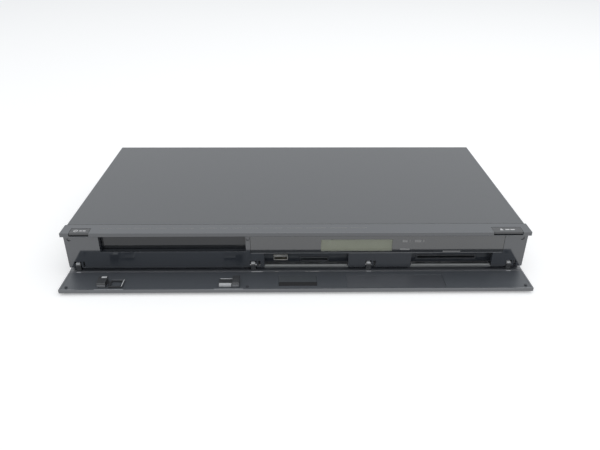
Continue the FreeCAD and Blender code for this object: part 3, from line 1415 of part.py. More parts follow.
def blade_section(radius, pitch, middle, depth):
    """The outline of a blade at its root, tilted by its pitch."""
    chord = (depth - 0.6) / math.sin(math.radians(pitch)) * 0.9
    points = [Vector(-chord / 2, -0.4, 0), Vector(chord / 2, -0.4, 0),
              Vector(chord / 2, 0.4, 0), Vector(-chord / 2, 0.4, 0)]
    wire = Part.makePolygon(points + points[:1])
    wire.rotate(Vector(), Vector(0, 0, 1), pitch)
    wire.translate(middle + Vector(0, depth / 2, radius))
    return wire


make_fan_frame()
make_fan_rotor()

# Behind the front: the display board with the display, its sensor and the button switches.
front_board_y = (back(size.front_board_depth), back(size.front_board_depth) + size.board_thickness)
recess_roof = size.panel_bottom + size.recess_wall
front_board_z = (recess_roof + 0.4, strip_under - 1.8)
node("front_board", block("front_board", (panel_left + 3, panel_right - 8), front_board_y, front_board_z))
node("display_module", block(
    "display_module", (size.window_left - 3, window_right + 3),
    (wall_back + size.fit_gap, front_board_y[0]), (size.window_bottom - 0.3, window_top + 2.0)))
sensor_x = half - size.sensor_inset
node("remote_sensor", fused("remote_sensor", [
    block("sensor_can", spread(sensor_x, 7), (front_board_y[0] - 4, front_board_y[0]), (30, 38)),
    rod("sensor_lens", "y", sensor_x, (front_board_y[0] - 5.5, front_board_y[0] - 3.9), 34, 2.5, 12)]))


def make_switch(span):
    """A push switch on its own small bracket, right under a button's stem."""
    x = (span[0] + span[1]) / 2
    y = back(stem_depth + size.button_shell / 2)
    can = block("switch_can", spread(x, 6), (y - 1.3, y + 4.7), (switch_top - 4.3, switch_top - 1))
    plunger = rod("switch_plunger", "z", x, y, (switch_top - 1.2, switch_top - size.button_travel),
                  0.9, 8)
    shelf = block("switch_board", spread(x, 12), (wall_back, y + 5.5), (switch_top - 5.3, switch_top - 4.3))
    return fused("switch", [can, plunger, shelf])


node("button_switches", fused("button_switches", [make_switch(span) for span in buttons.values()]))


def make_card_socket(name, middle, width, bottom, slot, depth):
    """A flat housing with a slot that is open to the front."""
    lip = size.slot_lip
    housing = block(name + "_housing", spread(middle, width + lip * 2),
                    (recess_back - 0.3, recess_back + depth), (bottom - lip, bottom + slot + lip))
    mouth = block(name + "_mouth", spread(middle, width), (recess_back - 1, recess_back + depth - 1.5),
                  (bottom, bottom + slot))
    return node(name, less(name, housing, [mouth]))


make_card_socket("memory_card_slot", memory_x, size.memory_width, size.memory_bottom,
                 size.memory_slot, size.memory_depth)
make_card_socket("access_card_slot", access_x, size.access_width, size.access_bottom,
                 size.access_slot, size.access_depth)
data_z = (size.data_bottom, size.data_bottom + size.data_height)
data_shell = block("data_shell", spread(data_x, size.data_width), (recess_back - 1.5, recess_back + 13),
                   data_z)
data_mouth = block("data_mouth", spread(data_x, size.data_width - 0.6), (recess_back - 2, recess_back + 10),
                  (data_z[0] + 0.3, data_z[1] - 0.3))
data_tongue = block("data_tongue", spread(data_x, size.data_width - 2.2), (recess_back - 1, recess_back + 11),
                   (data_z[0] + 2.9, data_z[1] - 0.9))
node("data_port", fused("data_port", [less("data_hollow", data_shell, [data_mouth]), data_tongue]))


# The disc drive stands on posts behind the tray opening. Its tray carries a disc of 120 mm or
# 80 mm out through the opening, with its spindle slot open to the rear.
fascia_z = (size.tray_opening_bottom + size.fascia_gap, tray_opening_top - size.fascia_gap)
tray_x = spread(tray_centre, size.tray_width)
tray_y = (fascia_back, fascia_back + size.tray_length)
tray_z = (size.tray_bottom, size.tray_bottom + size.tray_thickness)
spindle_y = fascia_back + size.disc_margin + size.disc_well_radius
disc_floor = tray_z[1] - size.disc_well_depth
rack_pitch_x = tray_centre - size.rack_offset
gear_x = rack_pitch_x + size.gear_module * size.small_teeth / 2
gear_y = back(size.gear_depth)


def make_disc_tray():
    body = body_of("disc_tray")
    sketch = sketch_on(body, "XY", tray_z[0])
    oblong(sketch, tray_x, tray_y)
    pad(body, sketch, size.tray_thickness)
    sketch = sketch_on(body, "XY", tray_z[0] + size.rail_lift)
    oblong(sketch, (tray_x[0] - size.rail_width, tray_x[1] + size.rail_width), (tray_y[0] + 2, tray_y[1]))
    pad(body, sketch, size.rail_height)
    sketch = sketch_on(body, "XY", disc_floor)
    circle(sketch, tray_centre, spindle_y, size.disc_well_radius)
    pocket(body, sketch, size.disc_well_depth + 1)
    sketch = sketch_on(body, "XY", disc_floor - size.small_well_depth)
    circle(sketch, tray_centre, spindle_y, size.small_well_radius)
    pocket(body, sketch, size.small_well_depth + 1)
    sketch = sketch_on(body, "XY", tray_z[0] - 1)
    slot_x = spread(tray_centre, size.spindle_slot)
    round_end = size.spindle_slot / 2 * 0.95
    outline(sketch, [
        (slot_x[0], spindle_y - size.spindle_slot / 2, round_end),
        (slot_x[1], spindle_y - size.spindle_slot / 2, round_end),
        (slot_x[1], tray_y[1] + 1),
        (slot_x[0], tray_y[1] + 1),
    ])
    pocket(body, sketch, size.tray_thickness + 2)
    return body


def make_rack():
    """A row of straight-sided teeth under the tray, facing the middle, in mesh with the gear."""
    module = size.gear_module.value
    pitch = math.pi * module
    root = rack_pitch_x.value - 1.25 * module
    tip = rack_pitch_x.value + module
    lean = math.tan(math.radians(size.pressure_angle.value))
    half_root = pitch / 4 - size.backlash.value / 2 + 1.25 * module * lean
    half_tip = pitch / 4 - size.backlash.value / 2 - module * lean
    forward = math.ceil((gear_y.value - tray_y[0].value - 6) / pitch)
    backward = math.ceil((size.tray_travel.value + 3) / pitch)
    centres = [gear_y.value + (number + 0.5) * pitch for number in range(-forward, backward)]
    left = root - size.rack_back.value
    points = [(left, centres[0] - pitch / 2)]
    for centre in centres:
        points += [(root, centre - half_root), (tip, centre - half_tip),
                   (tip, centre + half_tip), (root, centre + half_root)]
    points += [(left, centres[-1] + pitch / 2)]
    corners = [Vector(x, y, size.rack_bottom.value) for x, y in points]
    face = Part.Face(Part.makePolygon(corners + corners[:1]))
    rack = doc.addObject("Part::Feature", "tray_rack")
    rack.Shape = face.extrude(Vector(0, 0, tray_z[0].value + 0.5 - size.rack_bottom.value))
    return rack


node("disc_tray", fused("disc_tray_with_rack", [make_disc_tray(), make_rack()]))


def make_tray_fascia():
    body = body_of("tray_fascia")
    sketch = sketch_on(body, "XZ", fascia_front)
    oblong(sketch, spread(tray_centre, fascia_width), fascia_z, 0.6)
    pad(body, sketch, size.fascia_thickness)
    return node("tray_fascia", body)


make_tray_fascia()


# Gear teeth have straight flanks that keep inside the involute of their base circle.
def tooth_half_angle(teeth, radius):
    """Half of the angle that a tooth covers at a radius."""
    pressure = math.radians(size.pressure_angle.value)
    pitch_radius = size.gear_module.value * teeth / 2
    base = pitch_radius * math.cos(pressure)
    at_radius = math.acos(min(1.0, base / radius))
    spread_at_pitch = math.pi / (2 * teeth) - size.backlash.value / (2 * pitch_radius)
    return spread_at_pitch + (math.tan(pressure) - pressure) - (math.tan(at_radius) - at_radius)


def gear_solid(teeth, x, y, bottom, top, first_tooth):
    """A spur gear with one tooth pointing at the angle first_tooth, in degrees."""
    module = size.gear_module.value
    pitch_radius = module * teeth / 2
    base = pitch_radius * math.cos(math.radians(size.pressure_angle.value))
    outer = pitch_radius + module * 0.95
    start = max(base, pitch_radius - module)
    root = pitch_radius - 1.25 * module
    corners = []
    for number in range(teeth):
        middle = math.radians(first_tooth) + 2 * math.pi * number / teeth
        flank = [(root, -tooth_half_angle(teeth, start)), (outer, -tooth_half_angle(teeth, outer))]
        for radius, angle in flank + [(r, -a) for r, a in reversed(flank)]:
            turn = middle + angle
            corners.append(Vector(x + radius * math.cos(turn), y + radius * math.sin(turn), bottom))
    face = Part.Face(Part.makePolygon(corners + corners[:1]))
    return face.extrude(Vector(0, 0, top - bottom))


def disc_solid(radius, x, y, bottom, top):
    return Part.makeCylinder(radius, top - bottom, Vector(x, y, bottom))


def bored(name, solids, x, y, bottom, top, bore):
    """One piece from several solids about a vertical axis, with a bore through it."""
    item = doc.addObject("Part::Feature", name)
    whole = solids[0].fuse(solids[1:]) if len(solids) > 1 else solids[0]
    item.Shape = whole.cut(disc_solid(bore, x, y, bottom - 1, top + 1)).removeSplitter()
    return node(name, item)


small_teeth = int(size.small_teeth.value)
large_teeth = int(size.large_teeth.value)
pinion_teeth = int(size.pinion_teeth.value)
gear_z = (size.rack_bottom.value, tray_z[0].value - size.fit_gap.value)
large_z = (gear_z[0] - 0.3 - size.gear_face.value, gear_z[0] - 0.3)
pulley_z = (large_z[0] - 0.6 - size.pulley_face.value, large_z[0] - 0.6)
pulley_x = gear_x.value + size.gear_module.value * (large_teeth + pinion_teeth) / 2
motor_x = pulley_x + size.motor_spacing.value
axle = size.gear_axle.value
bore = axle + size.running_gap.value
gear_x_now, gear_y_now = gear_x.value, gear_y.value
bored("tray_gear", [
    gear_solid(small_teeth, gear_x_now, gear_y_now, large_z[1] - 0.1, gear_z[1], 180),
    gear_solid(large_teeth, gear_x_now, gear_y_now, large_z[0], large_z[1], 0),
], gear_x_now, gear_y_now, large_z[0], gear_z[1], bore)


def grooved_pulley(radius, x, y, bottom, top):
    """A pulley whose rim has a groove for the belt."""
    middle = (bottom + top) / 2
    groove = size.belt_width.value / 2 + 0.3
    waist = wheel_solid(radius - size.belt_groove.value, x, y, bottom, top)
    low = wheel_solid(radius, x, y, bottom, middle - groove)
    return waist.fuse([low, wheel_solid(radius, x, y, middle + groove, top)])


bored("pulley_gear", [
    grooved_pulley(size.pulley_radius.value, pulley_x, gear_y_now, pulley_z[0], pulley_z[1]),
    gear_solid(pinion_teeth, pulley_x, gear_y_now, pulley_z[1] - 0.1, large_z[1], 180 + 180 / pinion_teeth),
], pulley_x, gear_y_now, pulley_z[0], large_z[1], bore)
bored("motor_pulley", [
    grooved_pulley(size.motor_pulley_radius.value, motor_x, gear_y_now, pulley_z[0], pulley_z[1]),
], motor_x, gear_y_now, pulley_z[0], pulley_z[1], size.motor_shaft.value + size.running_gap.value)


def make_loading_belt():
    """A square belt round both pulleys: two straight runs and the arcs that join them."""
    slack = size.fit_gap.value + 0.15
    big = size.pulley_radius.value - size.belt_groove.value + slack
    small = size.motor_pulley_radius.value - size.belt_groove.value + slack
    middle = (pulley_z[0] + pulley_z[1]) / 2
    half_height = size.belt_width.value / 2
    rings = []
    for grow in (size.belt_width.value, 0):
        far = tangent_loop(pulley_x, big + grow, motor_x, small + grow, gear_y_now, middle - half_height)
        rings.append(Part.Face(far).extrude(Vector(0, 0, half_height * 2)))
    belt = doc.addObject("Part::Feature", "loading_belt")
    belt.Shape = rings[0].cut(rings[1])
    return node("loading_belt", belt)


def tangent_loop(x_one, radius_one, x_two, radius_two, y, level):
    """A closed loop about two circles that lie side by side along X, in short straight steps."""
    angle = math.acos((radius_one - radius_two) / (x_two - x_one))
    corners = []
    rounds = [(x_two, radius_two, -angle, angle), (x_one, radius_one, angle, 2 * math.pi - angle)]
    for x, radius, first, last in rounds:
        for step in range(11):
            turn = first + (last - first) * step / 10
            corners.append(Vector(x + radius * math.cos(turn), y + radius * math.sin(turn), level))
    return Part.makePolygon(corners + corners[:1])


make_loading_belt()
motor_top = pulley_z[0] - 0.5
node("loading_motor", fused("loading_motor", [
    rod("motor_can", "z", motor_x, gear_y, (motor_top - size.motor_length, motor_top), size.motor_radius, 24),
    rod("motor_shaft", "z", motor_x, gear_y, (motor_top - 0.5, pulley_z[1] + 0.3), size.motor_shaft, 12)]))


# The drive frame: side walls with ledges that the tray's rails run on, and a floor with a wide
# opening in which the traverse frame hangs on two trunnions.
drive_inner = drive_outer - size.drive_wall
drive_top = size.drive_top
drive_floor_z = (size.drive_bottom, size.drive_bottom + size.drive_floor)
rail_z = (tray_z[0] + size.rail_lift, tray_z[0] + size.rail_lift + size.rail_height)
traverse_pivot_y = back(size.traverse_pivot_depth)
traverse_z = (size.traverse_bottom, size.traverse_bottom + size.traverse_plate)
traverse_pivot_z = (traverse_z[0] + traverse_z[1]) / 2
traverse_half = size.traverse_width / 2
traverse_x = spread(tray_centre, size.traverse_width)
traverse_y = (back(size.traverse_front_depth), traverse_pivot_y + 4)


def make_drive_frame():
    body = body_of("drive_frame")
    sketch = sketch_on(body, "XY", size.drive_bottom)
    oblong(sketch, drive_x, drive_y)
    opening_x = (tray_centre - traverse_half - 5, tray_centre + traverse_half + 5)
    oblong(sketch, opening_x, (traverse_y[0] - 4, traverse_pivot_y - 8))
    room = (size.motor_radius + size.fit_gap) * 2
    oblong(sketch, spread(motor_x, room), spread(gear_y, room))
    pad(body, sketch, size.drive_floor)
    sketch = sketch_on(body, "XY", drive_floor_z[0])
    for side in (-1, 1):
        edge = tray_centre + drive_outer * side
        inner = edge - size.drive_wall * side
        span = (edge, inner) if side < 0 else (inner, edge)
        oblong(sketch, span, drive_y)
    pad(body, sketch, drive_top - drive_floor_z[0])
    gap = size.fit_gap
    sketch = sketch_on(body, "XZ", drive_y[0])
    for side in (-1, 1):
        edge = tray_centre + (drive_inner + 0.5) * side
        inner = tray_centre + (size.tray_width / 2 + 0.8) * side
        span = (edge, inner) if side < 0 else (inner, edge)
        oblong(sketch, span, (rail_z[0] - gap - size.ledge_bar, rail_z[0] - gap))
    pad(body, sketch, size.drive_depth)
    sketch = sketch_on(body, "XZ", drive_y[0] + 8)
    for side in (-1, 1):
        edge = tray_centre + (drive_inner + 0.5) * side
        inner = tray_centre + (size.tray_width / 2 + 0.8) * side
        span = (edge, inner) if side < 0 else (inner, edge)
        oblong(sketch, span, (rail_z[1] + gap, rail_z[1] + gap + size.ledge_bar))
    pad(body, sketch, 24)
    sketch = sketch_on(body, "XY", drive_floor_z[0])
    oblong(sketch, (drive_x[0] + 1, drive_x[1] - 1), (drive_y[1] - 3, drive_y[1]))
    pad(body, sketch, size.rear_bar)
    sketch = sketch_on(body, "XY", drive_floor_z[0] + 0.1)
    boss = (axle + 2) * 2
    oblong(sketch, spread(gear_x, boss), spread(gear_y, boss))
    oblong(sketch, spread(as_length(pulley_x), boss), spread(gear_y, boss))
    pad(body, sketch, pulley_z[0] - 0.4 - drive_floor_z[0].value)
    trunnion_ears(body)
    return body


def trunnion_ears(body):
    """Two ears in which the traverse frame's trunnions turn."""
    for side in (-1, 1):
        near = tray_centre + (traverse_half + size.arm_gap) * side
        start = near if side > 0 else near - size.trunnion_ear
        sketch = sketch_on(body, "YZ", start)
        reach = size.trunnion_radius + 1.8
        outline(sketch, [
            (traverse_pivot_y - reach, drive_floor_z[0]),
            (traverse_pivot_y - reach, traverse_pivot_z + reach),
            (traverse_pivot_y + reach, traverse_pivot_z + reach),
            (traverse_pivot_y + reach, drive_floor_z[0]),
        ])
        circle(sketch, traverse_pivot_y, traverse_pivot_z, size.trunnion_radius + size.running_gap)
        pad(body, sketch, size.trunnion_ear)


axles = [
    rod("gear_axle", "z", gear_x, gear_y, (drive_floor_z[1] - 0.5, gear_z[1]), axle, 12),
    rod("pulley_axle", "z", pulley_x, gear_y, (drive_floor_z[1] - 0.5, large_z[1]), axle, 12),
]
node("drive_frame", fused("drive_frame_whole", [make_drive_frame()] + axles))


def make_drive_cover():
    body = body_of("drive_cover")
    sketch = sketch_on(body, "XY", drive_top)
    oblong(sketch, drive_x, drive_y)
    circle(sketch, tray_centre, spindle_y, size.puck_neck + size.fit_gap)
    pad(body, sketch, size.chassis_sheet)
    sketch = sketch_on(body, "XY", drive_top + 0.1)
    bar = size.cover_rib
    oblong(sketch, (drive_x[0] + 8, drive_x[0] + 8 + bar), (drive_y[0] + 8, drive_y[1] - 8))
    oblong(sketch, (drive_x[1] - 8 - bar, drive_x[1] - 8), (drive_y[0] + 8, drive_y[1] - 8))
    pad(body, sketch, size.chassis_sheet + 0.5)
    return node("drive_cover", body)


make_drive_cover()


# The clamp puck hangs in the cover over the turntable and turns with the disc.
def make_clamp_puck():
    flange = drive_top + size.chassis_sheet + size.fit_gap
    neck = rod("puck_neck", "z", tray_centre, spindle_y, (size.puck_bottom, flange + 0.1), size.puck_neck, 24)
    top = rod("puck_flange", "z", tray_centre, spindle_y, (flange, flange + size.puck_flange),
              size.puck_neck + 3, 24)
    room = rod("puck_room", "z", tray_centre, spindle_y, (size.puck_bottom - 1, size.puck_bottom + 0.6),
               size.turntable_cone + 1.3, 24)
    return node("clamp_puck", less("clamp_puck", fused("puck_whole", [neck, top]), [room]))


make_clamp_puck()


# The traverse frame carries the spindle motor, the rods and the pickup, and tilts as one.
rod_z = size.rod_height
rod_offset = size.rod_spacing / 2
sled_y = (spindle_y + size.sled_inner, spindle_y + size.sled_inner + size.sled_length)
window_y = (sled_y[0] - 4, sled_y[1] + size.sled_travel + 4)
spindle_motor_z = (traverse_z[0] - size.spindle_motor_height, traverse_z[0])


def make_traverse_frame():
    body = body_of("traverse_frame")
    sketch = sketch_on(body, "XY", traverse_z[0])
    oblong(sketch, traverse_x, traverse_y)
    oblong(sketch, spread(tray_centre, size.spindle_shaft * 4), spread(spindle_y, size.spindle_shaft * 4))
    oblong(sketch, spread(tray_centre, size.rod_spacing - 6), window_y)
    pad(body, sketch, size.traverse_plate)
    holders = []
    for side in (-1, 1):
        middle = tray_centre + rod_offset * side
        for y in (window_y[0] - 5, window_y[1] + 1):
            holders.append(block("rod_holder", spread(middle, 6), (y, y + 4),
                                 (rod_z - size.rod_radius - 1.2, traverse_z[0] + 0.2)))
    screw_x = tray_centre + size.lead_screw_offset
    holders.append(block("screw_holder", spread(screw_x, 7), (window_y[0] - 5, window_y[0] - 1),
                         (rod_z - 3, traverse_z[0] + 0.2)))
    trunnions = [rod("trunnion", "x", span, traverse_pivot_y, traverse_pivot_z, size.trunnion_radius)
                 for span in ((traverse_x[0] - size.trunnion_length, traverse_x[0] + 2),
                              (traverse_x[1] - 2, traverse_x[1] + size.trunnion_length))]
    holes = [rod("rod_hole", "y", tray_centre + rod_offset * side,
                 (window_y[0] - 6, window_y[1] + 6), rod_z, size.rod_radius, 12) for side in (-1, 1)]
    holes.append(rod("screw_hole", "y", screw_x, (window_y[0] - 6, window_y[0]), rod_z,
                     size.lead_screw_radius + size.fit_gap, 12))
    whole = fused("traverse_whole", [body] + holders + trunnions)
    return node("traverse_frame", less("traverse_frame_bored", whole, holes))


make_traverse_frame()
node("sled_rods", fused("sled_rods", [
    rod("sled_rod", "y", tray_centre + rod_offset * side, (window_y[0] - 5, window_y[1] + 5),
        rod_z, size.rod_radius, 12) for side in (-1, 1)]))
node("spindle_motor", fused("spindle_motor", [
    rod("spindle_can", "z", tray_centre, spindle_y, spindle_motor_z, size.spindle_motor_radius, 24),
    rod("spindle_shaft", "z", tray_centre, spindle_y,
        (spindle_motor_z[1] - 1, traverse_z[1] + 3), size.spindle_shaft, 12)]))
screw_x = tray_centre + size.lead_screw_offset
screw_end = window_y[1] - 1
node("sled_motor", fused("sled_motor", [
    rod("sled_motor_can", "y", screw_x, (screw_end + 0.4, screw_end + 9), rod_z, size.sled_motor_radius, 12),
    block("sled_motor_bracket", spread(screw_x, 12), (screw_end + 0.4, screw_end + 1.4),
          (rod_z - 4, traverse_z[0]))]))
node("lead_screw", rod("lead_screw", "y", screw_x, (window_y[0] - 5, screw_end), rod_z,
                       size.lead_screw_radius))


def make_turntable():
    """A hub that centres the disc on its cone and carries it on a ring."""
    base = traverse_z[1] + size.fit_gap
    ring_z = (size.turntable_top - 2.2, size.turntable_top)
    hub = rod("table_hub", "z", tray_centre, spindle_y, (base, ring_z[0] + 0.1),
              size.turntable_radius - 4, 24)
    ring = rod("table_ring", "z", tray_centre, spindle_y, ring_z, size.turntable_radius, 24)
    step_z = size.turntable_top + size.cone_rise / 2
    cone_top = size.turntable_top + size.cone_rise
    cone = [rod("table_cone", "z", tray_centre, spindle_y, span, radius, 24) for span, radius in (
        ((ring_z[1] - 0.1, step_z), size.turntable_cone),
        ((step_z - 0.1, cone_top), size.turntable_cone - 1.5))]
    room = rod("table_bore", "z", tray_centre, spindle_y, (base - 1, traverse_z[1] + 3.4),
               size.spindle_shaft + size.running_gap)
    return node("turntable", less("turntable", fused("table_whole", [hub, ring] + cone), [room]))


make_turntable()


# The sled slides on both rods and is driven by the lead screw. Its lens looks up at the disc.
def make_pickup_sled():
    body = body_of("pickup_sled")
    sketch = sketch_on(body, "XY", rod_z - 3)
    side = size.rod_spacing / 2 - 4
    outline(sketch, [
        (tray_centre - side, sled_y[0] + 4),
        (tray_centre - side + 12, sled_y[0]),
        (tray_centre + side - 12, sled_y[0]),
        (tray_centre + side, sled_y[0] + 4),
        (tray_centre + side, sled_y[1]),
        (tray_centre - side, sled_y[1]),
    ])
    pad(body, sketch, 6.5)
    sketch = sketch_on(body, "XY", rod_z)
    oblong(sketch, spread(tray_centre, 19), (sled_y[0] + 3, sled_y[0] + 21))
    pad(body, sketch, size.lens_top - 1.4 - rod_z)
    pieces = [body]
    for direction in (-1, 1):
        middle = tray_centre + rod_offset * direction
        lengths = (sled_y[0] + 6, sled_y[1] - 2) if direction < 0 else (sled_y[0] + 12, sled_y[0] + 18)
        low, high = (middle - 2.8, middle + 5) if direction < 0 else (middle - 5, middle + 2.8)
        pieces.append(block("sled_bearing", (low, high), lengths, (rod_z - 2.8, rod_z + 2.8)))
    holes = [rod("bearing_hole", "y", tray_centre + rod_offset * direction,
                 (sled_y[0] - 1, sled_y[1] + 1), rod_z, size.rod_radius + size.running_gap, 12)
             for direction in (-1, 1)]
    holes.append(rod("screw_way", "y", screw_x, (sled_y[0] - 1, sled_y[1] + 1), rod_z,
                     size.lead_screw_radius + size.fit_gap, 12))
    holes.append(rod("lens_well", "z", tray_centre, sled_y[0] + 10,
                     (size.lens_top - 3, size.lens_top + 1), size.lens_radius + 0.05, 24))
    return node("pickup_sled", less("pickup_sled_bored", fused("sled_whole", pieces), holes))


make_pickup_sled()
node("objective_lens", rod("objective_lens", "z", tray_centre, sled_y[0] + 10,
                           (size.lens_top - 3, size.lens_top), size.lens_radius, 24))


def finish():
    """Check every object, then write each sub-part to its own file."""
    doc.recompute()
    for item in doc.Objects:
        if "Invalid" in item.State or "Error" in item.State:
            raise RuntimeError("%s (%s) failed: %s" % (item.Name, item.Label, item.State))
    for name, item in nodes.items():
        if item.Shape.isNull() or not item.Shape.isValid():
            raise RuntimeError("the shape of %s is not valid" % name)
        item.Shape.exportStep("parts/%s.step" % name)
    print("%d sub-parts written" % len(nodes))


finish()
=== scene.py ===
import math

import bmesh
import bpy
from mathutils import Matrix, Vector


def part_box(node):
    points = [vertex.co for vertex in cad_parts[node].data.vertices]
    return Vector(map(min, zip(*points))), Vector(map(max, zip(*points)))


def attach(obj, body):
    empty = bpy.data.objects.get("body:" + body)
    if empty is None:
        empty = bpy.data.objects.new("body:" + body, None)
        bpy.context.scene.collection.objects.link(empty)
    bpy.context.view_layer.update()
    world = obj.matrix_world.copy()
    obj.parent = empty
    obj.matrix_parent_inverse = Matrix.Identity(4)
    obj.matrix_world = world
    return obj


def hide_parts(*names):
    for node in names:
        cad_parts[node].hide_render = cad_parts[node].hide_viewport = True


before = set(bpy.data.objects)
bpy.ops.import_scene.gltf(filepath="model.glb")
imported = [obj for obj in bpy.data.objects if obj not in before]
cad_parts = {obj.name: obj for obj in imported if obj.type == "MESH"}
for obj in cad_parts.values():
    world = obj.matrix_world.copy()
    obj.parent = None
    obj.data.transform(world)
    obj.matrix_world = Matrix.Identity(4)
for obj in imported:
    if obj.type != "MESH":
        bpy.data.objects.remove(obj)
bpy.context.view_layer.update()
mm = 0.001

# The recorder stands on a plain white table and is photographed from above its front. The
# camera's place, lens and turn were fitted to the corners of the body and of the open flap.
camera_place = Vector((-5.98, -546.0, 302.9)) * mm
camera_lens = 33.99
pitch = math.radians(28.78)
yaw = math.radians(1.077)
roll = math.radians(0.342)
forward = Vector((math.sin(yaw) * math.cos(pitch), math.cos(yaw) * math.cos(pitch), -math.sin(pitch)))
level = Vector((math.cos(yaw), -math.sin(yaw), 0))
upward = level.cross(forward)
camera_right = level * math.cos(roll) + upward * math.sin(roll)
camera_up = upward * math.cos(roll) - level * math.sin(roll)
lens_data = bpy.data.cameras.new("camera")
lens_data.sensor_width = 36
lens_data.lens = camera_lens
lens_data.clip_start = 0.01
camera = bpy.data.objects.new("camera", lens_data)
turn = Matrix((camera_right, camera_up, -forward)).transposed().to_4x4()
camera.matrix_world = Matrix.Translation(camera_place) @ turn
bpy.context.scene.collection.objects.link(camera)
bpy.context.scene.camera = camera
bpy.context.scene.view_settings.view_transform = "Standard"

# Soft, faintly blue air all round the table, which gloss, glass and the camera see at full
# strength. It gives part of the light by itself, and one broad lamp overhead gives the rest.
air_colour = (0.95, 0.975, 1, 1)
air_fill = 0.62
lamp_power = 17.0
lamp_side = 2.6
lamp_place = Vector((0.35, -0.25, 1.7))
world = bpy.data.worlds.new("studio_air")
world.use_nodes = True
bpy.context.scene.world = world


def seen_directly(tree):
    """One where the camera, gloss or glass looks straight at a surface, and nothing elsewhere."""
    path = tree.nodes.new("ShaderNodeLightPath")
    last = path.outputs["Is Camera Ray"]
    for way in ("Is Glossy Ray", "Is Transmission Ray"):
        either = tree.nodes.new("ShaderNodeMath")
        either.operation = "MAXIMUM"
        tree.links.new(last, either.inputs[0])
        tree.links.new(path.outputs[way], either.inputs[1])
        last = either.outputs[0]
    return last


air_level = world.node_tree.nodes.new("ShaderNodeMath")
air_level.operation = "MULTIPLY_ADD"
air_level.inputs[1].default_value = 1 - air_fill
air_level.inputs[2].default_value = air_fill
world.node_tree.links.new(seen_directly(world.node_tree), air_level.inputs[0])
air = world.node_tree.nodes["Background"]
air.inputs["Color"].default_value = air_colour
world.node_tree.links.new(air_level.outputs[0], air.inputs["Strength"])
lamp_data = bpy.data.lights.new("overhead_lamp", "AREA")
lamp_data.energy = lamp_power
lamp_data.size = lamp_side
lamp = bpy.data.objects.new("overhead_lamp", lamp_data)
lamp.location = lamp_place
lamp.rotation_euler = (-lamp_place).to_track_quat("-Z", "Y").to_euler()
bpy.context.scene.collection.objects.link(lamp)

# The table top is pale and plain. Looked at directly it is nearly white and keeps the soft
# shadow under the recorder. From below it lets the camera through to the recorder's underside.
table_side = 9.0
table_drop = 0.2 * mm
table_colour = (0.84, 0.84, 0.84, 1)
table_glow = 0.3
table_mesh = bmesh.new()
bmesh.ops.create_grid(table_mesh, x_segments=2, y_segments=2, size=table_side / 2,
                      matrix=Matrix.Translation((0, 0, -table_drop)))
table_data = bpy.data.meshes.new("table_top")
table_mesh.to_mesh(table_data)
table_mesh.free()
table = bpy.data.objects.new("table_top", table_data)
bpy.context.scene.collection.objects.link(table)
paper = bpy.data.materials.new("table_white")
paper.use_nodes = True
tree = paper.node_tree
matt = tree.nodes["Principled BSDF"]
matt.inputs["Base Color"].default_value = table_colour
matt.inputs["Roughness"].default_value = 0.9
matt.inputs["Specular IOR Level"].default_value = 0.0
glow = tree.nodes.new("ShaderNodeEmission")
glow_level = tree.nodes.new("ShaderNodeMath")
glow_level.operation = "MULTIPLY"
glow_level.inputs[1].default_value = table_glow
tree.links.new(seen_directly(tree), glow_level.inputs[0])
tree.links.new(glow_level.outputs[0], glow.inputs["Strength"])
lit = tree.nodes.new("ShaderNodeAddShader")
tree.links.new(matt.outputs[0], lit.inputs[0])
tree.links.new(glow.outputs[0], lit.inputs[1])
clear = tree.nodes.new("ShaderNodeBsdfTransparent")
side = tree.nodes.new("ShaderNodeNewGeometry")
either_side = tree.nodes.new("ShaderNodeMixShader")
tree.links.new(side.outputs["Backfacing"], either_side.inputs["Fac"])
tree.links.new(lit.outputs[0], either_side.inputs[1])
tree.links.new(clear.outputs[0], either_side.inputs[2])
tree.links.new(either_side.outputs[0], tree.nodes["Material Output"].inputs["Surface"])
table_data.materials.append(paper)


# The bottom chassis is pressed from zinc-coated sheet, whose coating shows large soft crystals.
# Its ribs, vents and posts are pressed and pierced in one go, and its sides take the screws.
def new_effect(name, inputs, outputs):
    """An empty node group for a surface effect, with its named sockets, input and output."""
    effect = bpy.data.node_groups.new(name, "ShaderNodeTree")
    for label, kind in inputs:
        effect.interface.new_socket(label, in_out="INPUT", socket_type="NodeSocket" + kind)
    for label, kind in outputs:
        effect.interface.new_socket(label, in_out="OUTPUT", socket_type="NodeSocket" + kind)
    return effect, effect.nodes.new("NodeGroupInput"), effect.nodes.new("NodeGroupOutput")


SKIN_INPUTS = [("Place", "Vector"), ("Low Tone", "Color"), ("High Tone", "Color"), ("Grain", "Float"),
               ("Smoothness", "Float"), ("Unevenness", "Float")]
SKIN_OUTPUTS = [("Tone", "Color"), ("Roughness", "Float"), ("Relief", "Float")]


